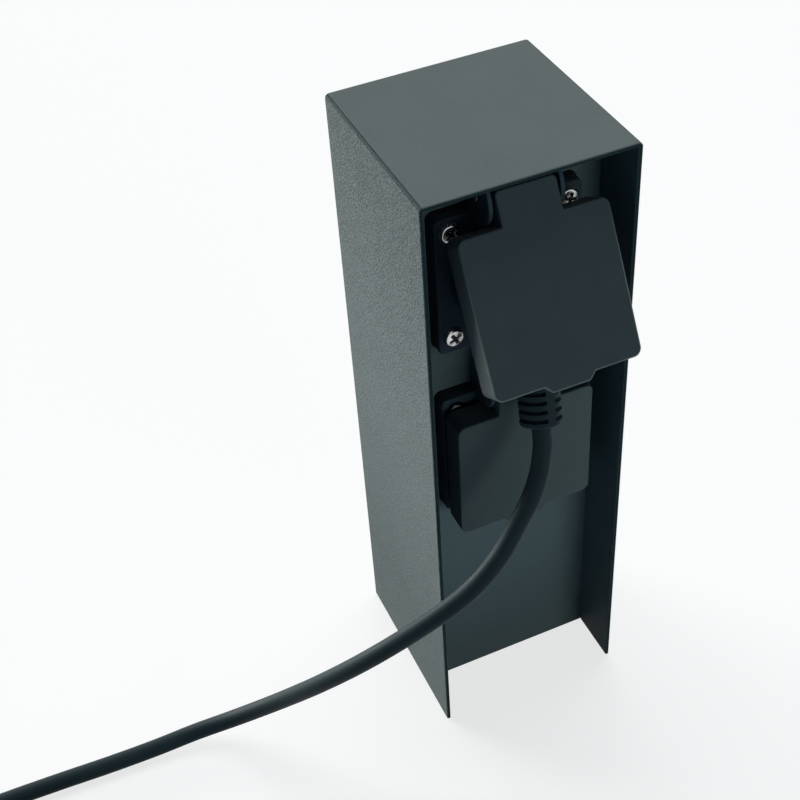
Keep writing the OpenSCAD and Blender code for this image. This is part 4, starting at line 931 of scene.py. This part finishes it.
cheek_line, cheek_normal = fillet(
    [[HINGE_OUT - 1, LID_TOP - 1.5], [LID_FRONT - 2, LID_TOP - 1.5],
     [LID_FRONT - 2, TONGUE_TOP - 0.4], [HINGE_OUT - 3.4, TONGUE_TOP + 1.4],
     [HINGE_OUT - 3.4, HINGE_UP - 2]], [0.3, 0.3, 1.5, 3.2, 2.5])
cheek_plate = carried(cheek_line, cheek_normal, soft_edge(0.3, TONGUE_HALF - 3, TONGUE_HALF - 0.05))
cheeks = [seen_from_side(cheek_plate, side) for side in (-1, 1)]
SEAL_IN, SEAL_OUT, SEAL_FROM, SEAL_H = 22.0, 28.0, LID_FRONT - LID_WALL, 4.9
seal_profile, _ = fillet(
    rectangle(SEAL_IN, SEAL_OUT, SEAL_FROM - SEAL_H, SEAL_FROM), [1.2, 1.2, 0.2, 0.2])
for name, at in OUTLETS.items():
    body = name + "_lid_body"
    shells = [(swung(grid, OPEN[name]) + at, "caps") for grid in (closed_lid(), *cheeks)]
    # The edge mark carries each lid's painted highlight and painted light.
    light_marks = np.concatenate([lid_light_rows(*LID_LIGHT[name]), np.zeros(2 * cheek_plate[..., 0].size)])
    piece(name + "_lid_tray", shells, LID_PLASTIC, [name + "_lid"], "lid_charcoal", body,
          sharp_deg=28, weld=True, edge=light_marks)
    seal = swung(turned(seal_profile), OPEN[name]) + at
    piece(name + "_lid_seal_ring", [(seal, "loop")], SOFT_RUBBER, [name + "_lid_seal"],
          "black_rubber", body)
print("lids done, upper one open by %.1f degrees" % math.degrees(UPPER_OPEN))

# %% [markdown]
# ## Hinge pins and springs
# A torsion spring closes each lid. Its wire winds six times round the pin; one leg stands against
# the flange and the other bears on the lid's shoulder. A helix is a circle that moves along X as it
# turns.

# %% Pins and wound springs
SPRING_R, SPRING_WIRE, SPRING_PITCH, SPRING_TURNS, PIN_END = 2.7, 0.4, 1.4, 6, 0.25
PIN_LEN = 2 * (EAR_X + EAR_T) + PIN_END


def spring_path(angle):
    """A straight leg, a helix of six turns and the rest of a half turn, and a second leg that
    leaves along the helix's own direction."""
    turn = 2 * math.pi * SPRING_TURNS + math.pi - angle
    a = np.linspace(0, turn, 200)
    width = SPRING_PITCH * turn / (2 * math.pi)
    winding = np.column_stack(
        [width * (a / turn - 0.5), SPRING_R * np.cos(a), SPRING_R * np.sin(a)])
    foot_leg = HINGE_UP - FLANGE_HALF + 4
    shoulder_leg = HINGE_UP - LID_TOP - SPRING_WIRE - 0.3
    down = np.linspace(foot_leg, 0.5, 6)[:, None] * [0, 0, -1.0]
    out = np.linspace(0.5, shoulder_leg, 6)[:, None] * [0, -math.sin(turn), math.cos(turn)]
    return np.concatenate([winding[0] + down, winding, winding[-1] + out])


pin_profile = fillet(
    rectangle(0.3, PIN_R, -PIN_END, PIN_LEN), [0, 0.4, 0.4, 0], closed=False, steps=4)
for name, at in OUTLETS.items():
    hinge = at + [0, -HINGE_OUT, HINGE_UP]
    rod = laid_along_x(turned(pin_profile, 32)) - [EAR_X + EAR_T, 0, 0] + hinge
    piece(name + "_pin", [(rod, "caps")], DRAWN_STEEL, [name + "_hinge_pin"], "pin_steel")
    wound = tube(spring_path(OPEN[name]) + hinge, SPRING_WIRE, 12, [1, 0.1, 0])
    piece(name + "_spring_wire", [(wound, "caps")], DRAWN_STEEL, [name + "_lid_spring"],
          "pin_steel")
print("springs done")

# %% [markdown]
# ## Wiring behind the panel
# Behind the panel, brown, blue and green-yellow wires run from the terminal block to the lower
# outlet and on to the upper one. They are soft, so each is a smooth tube with straight ends, in its
# own colour.

# %% Wires
BLOCK_TOP, BLOCK_Y, WIRE_R, WIRE_Y, EARTH_Y, POLE_X, LINE_X = 84.0, -9.5, 1.4, 5.0, 5.3, 12, 9.5
EARTH_X, PANEL_BACK, STRAIGHT, RISE = 30.0, -18.5, 32, LOWER_Z - BLOCK_TOP
EARTH_Z = BLOCK_TOP + 0.31 * RISE
EYELET_IN, EYELET_OUT, EYELET_T = 2.2, 5.4, 1.2


def wire(points):
    """Straight first and last stretches, and a smooth curve through the points between them."""
    p = np.asarray(points, float)
    path = np.concatenate([p[:1], smooth_path(p[1:-1], 8), p[-1:]])
    return tube(path, WIRE_R, 16, [0, 1, 0.2]), "caps"


def up_to_outlets(x0, x_mid, x1, y1, end, bow):
    """Two wires: from the block at x0 up to the lower outlet at x1, and on from there to the upper
    one. Each stops the given end short of the outlet's middle, and the second bows out."""
    bow_x, bow_y = bow
    return [
        wire([[x0, BLOCK_Y, BLOCK_TOP], [x0, BLOCK_Y, BLOCK_TOP + 0.13 * RISE],
              [x_mid, (BLOCK_Y + y1) / 2, BLOCK_TOP + 0.42 * RISE],
              [x1, y1, BLOCK_TOP + 0.6 * RISE], [x1, y1, LOWER_Z - end]]),
        wire([[x1, y1, LOWER_Z + end], [x1, y1, LOWER_Z + STRAIGHT],
              [x1 + bow_x, y1 + bow_y, (LOWER_Z + UPPER_Z) / 2],
              [x1, y1, UPPER_Z - STRAIGHT], [x1, y1, UPPER_Z - end]]),
    ]


def line_wires(side):
    """The two wires of one pole, left or right of the middle."""
    pole, x = side * POLE_X, side * LINE_X
    return up_to_outlets(pole, (pole + x) / 2, x, WIRE_Y, 3.5, (2 * side, 3))


to_panel = wire([
    [2.5, BLOCK_Y, BLOCK_TOP], [2.5, BLOCK_Y, BLOCK_TOP + 0.09 * RISE],
    [0.27 * EARTH_X, BLOCK_Y - 2, BLOCK_TOP + 0.15 * RISE],
    [0.6 * EARTH_X, BLOCK_Y - 5, BLOCK_TOP + 0.22 * RISE],
    [EARTH_X, PANEL_BACK + WIRE_R + 1, EARTH_Z - 9], [EARTH_X, PANEL_BACK + WIRE_R, EARTH_Z - 5]])
eyelet_profile, _ = fillet(rectangle(EYELET_IN, EYELET_OUT, -EYELET_T, 0), 0.2)
eyelet = (turned(eyelet_profile, 40) + [EARTH_X, PANEL_BACK, EARTH_Z], "loop")
earth = [*up_to_outlets(-2.5, -1, 0, EARTH_Y, 3, (0, 4)), to_panel, eyelet]
piece("brown_wires", line_wires(-1), BROWN_PVC, ["live_wires"], "wire_brown")
piece("blue_wires", line_wires(1), BLUE_PVC, ["neutral_wires"], "wire_blue")
piece("green_yellow_wires", earth, GREEN_PVC, ["earth_wires"], "wire_green")
print("wires done")

# %% [markdown]
# ## Finishes for the pieces that keep their CAD shape
# Nuts, terminals, contacts, inserts and caps are small and already right, so each one only takes
# the finish of its own material in place of the model's flat colour.

# %% Finishes on carried-over nodes
kept = {
    ZINC: ["panel_nuts", "base_nuts", "cord_grip_screws", "terminal_screws", "terminal_nuts",
           "earth_nut"],
    SOFT_RUBBER: ["entry_bush"], GRIP_NYLON: ["cord_grip"], TERMINAL_PLASTIC: ["terminal_block"],
    DRAWN_STEEL: ["plug_pins"], BRASS: ["plug_earth_strips"], INSERT_PLASTIC: [],
}
for name in OUTLETS:
    kept[ZINC] += [name + "_frame_nuts", name + "_insert_screws"]
    kept[INSERT_PLASTIC] += [name + "_insert", name + "_back_cap"]
    kept[BRASS] += [name + "_contacts", name + "_earth_clip"]
for material, nodes in kept.items():
    for node in nodes:
        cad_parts[node].data.materials[0] = material
print("finishes on", sum(len(nodes) for nodes in kept.values()), "kept nodes")

# %% [markdown]
# ## Floor and light
# The photograph has a white ground with a soft shadow. The floor is pale and catches that shadow; a
# share of white, only for rays that come straight from the camera or a reflection, lifts it to
# white. Four distant lamps with a wide spread do the work of softboxes: one overhead, a strong one
# low at the left rear that grazes the left side, one at the right, and a weak cool one in front
# that fills the niche. Area lamps near the post would do too, but they leave their own outline on a
# floor this wide.

# %% Floor, world and lamps
FLOOR_HALF, FLOOR_Z, WHITE_SHARE, AMBIENT = 6, -0.0004, 0.75, 0.07  # the first two in metres
WHITE = linear("#ffffff")


def seen_directly(tree):
    """1 for rays from the camera, from a reflection or through a pane, 0 for light that bounces."""
    rays = add(tree, "ShaderNodeLightPath").outputs
    seen = maths(tree, "MAXIMUM", rays["Is Camera Ray"], rays["Is Glossy Ray"])
    return maths(tree, "MAXIMUM", seen, rays["Is Transmission Ray"])


def mixed(tree, factor, first, second):
    return add(tree, "ShaderNodeMixShader", {0: factor, 1: first, 2: second}).outputs["Shader"]


FLOOR_WHITE, floor_tree = new_material("pale_floor")
seen = seen_directly(floor_tree)
paint = blend(floor_tree, seen, linear("#52788f"), WHITE)
matt = add(floor_tree, "ShaderNodeBsdfDiffuse", {"Color": paint}).outputs["BSDF"]
glow = add(floor_tree, "ShaderNodeEmission", {"Color": WHITE, "Strength": 1.0}).outputs["Emission"]
lift = maths(floor_tree, "MULTIPLY", seen, WHITE_SHARE)
add(floor_tree, "ShaderNodeOutputMaterial", {"Surface": mixed(floor_tree, lift, matt, glow)})
floor_mesh = bpy.data.meshes.new("floor")
square = rectangle(-FLOOR_HALF, FLOOR_HALF, -FLOOR_HALF, FLOOR_HALF)
corners = np.column_stack([square, np.full(4, FLOOR_Z)])
floor_mesh.from_pydata(corners.tolist(), [], [(0, 1, 2, 3)])
floor_mesh.materials.append(FLOOR_WHITE)
floor = bpy.data.objects.new("floor", floor_mesh)
scene.collection.objects.link(floor)

world = bpy.data.worlds.new("studio")
scene.world = world
world.use_nodes = True
sky_tree = world.node_tree
sky_tree.nodes.clear()
ambient, backdrop = (
    add(sky_tree, "ShaderNodeBackground", {"Color": colour, "Strength": strength}).outputs[0]
    for colour, strength in ((linear("#6cc2ff"), AMBIENT), (WHITE, 1.0)))
sky = mixed(sky_tree, seen_directly(sky_tree), ambient, backdrop)
add(sky_tree, "ShaderNodeOutputWorld", {"Surface": sky})


def soft_sun(name, towards, strength, spread_deg, colour):
    """A lamp so far away that it lights the whole floor evenly. It shines against its own Z axis,
    which points from the post to the lamp. Its spread is the angle it fills, like a softbox's."""
    data = bpy.data.lights.new(name, "SUN")
    data.energy, data.angle, data.color = strength, math.radians(spread_deg), linear(colour)[:3]
    lamp = bpy.data.objects.new(name, data)
    scene.collection.objects.link(lamp)
    back = unit(towards)
    right = unit(np.cross([0, 0, 1.0], back))
    lamp.matrix_world = axes_matrix(right, np.cross(back, right), back, [0, 0, 2])


soft_sun("overhead_softbox", (0.05, 0.45, 1.0), 1.7, 40, "#ffffff")
soft_sun("left_rear_softbox", (-0.55, 0.85, 0.05), 7.3, 30, "#fffefa")
soft_sun("right_softbox", (0.9, 0.35, 0.15), 2.0, 40, "#ffffff")
soft_sun("front_fill", (0.26, -1.0, 0.03), 1.14, 36, "#e2f7f9")
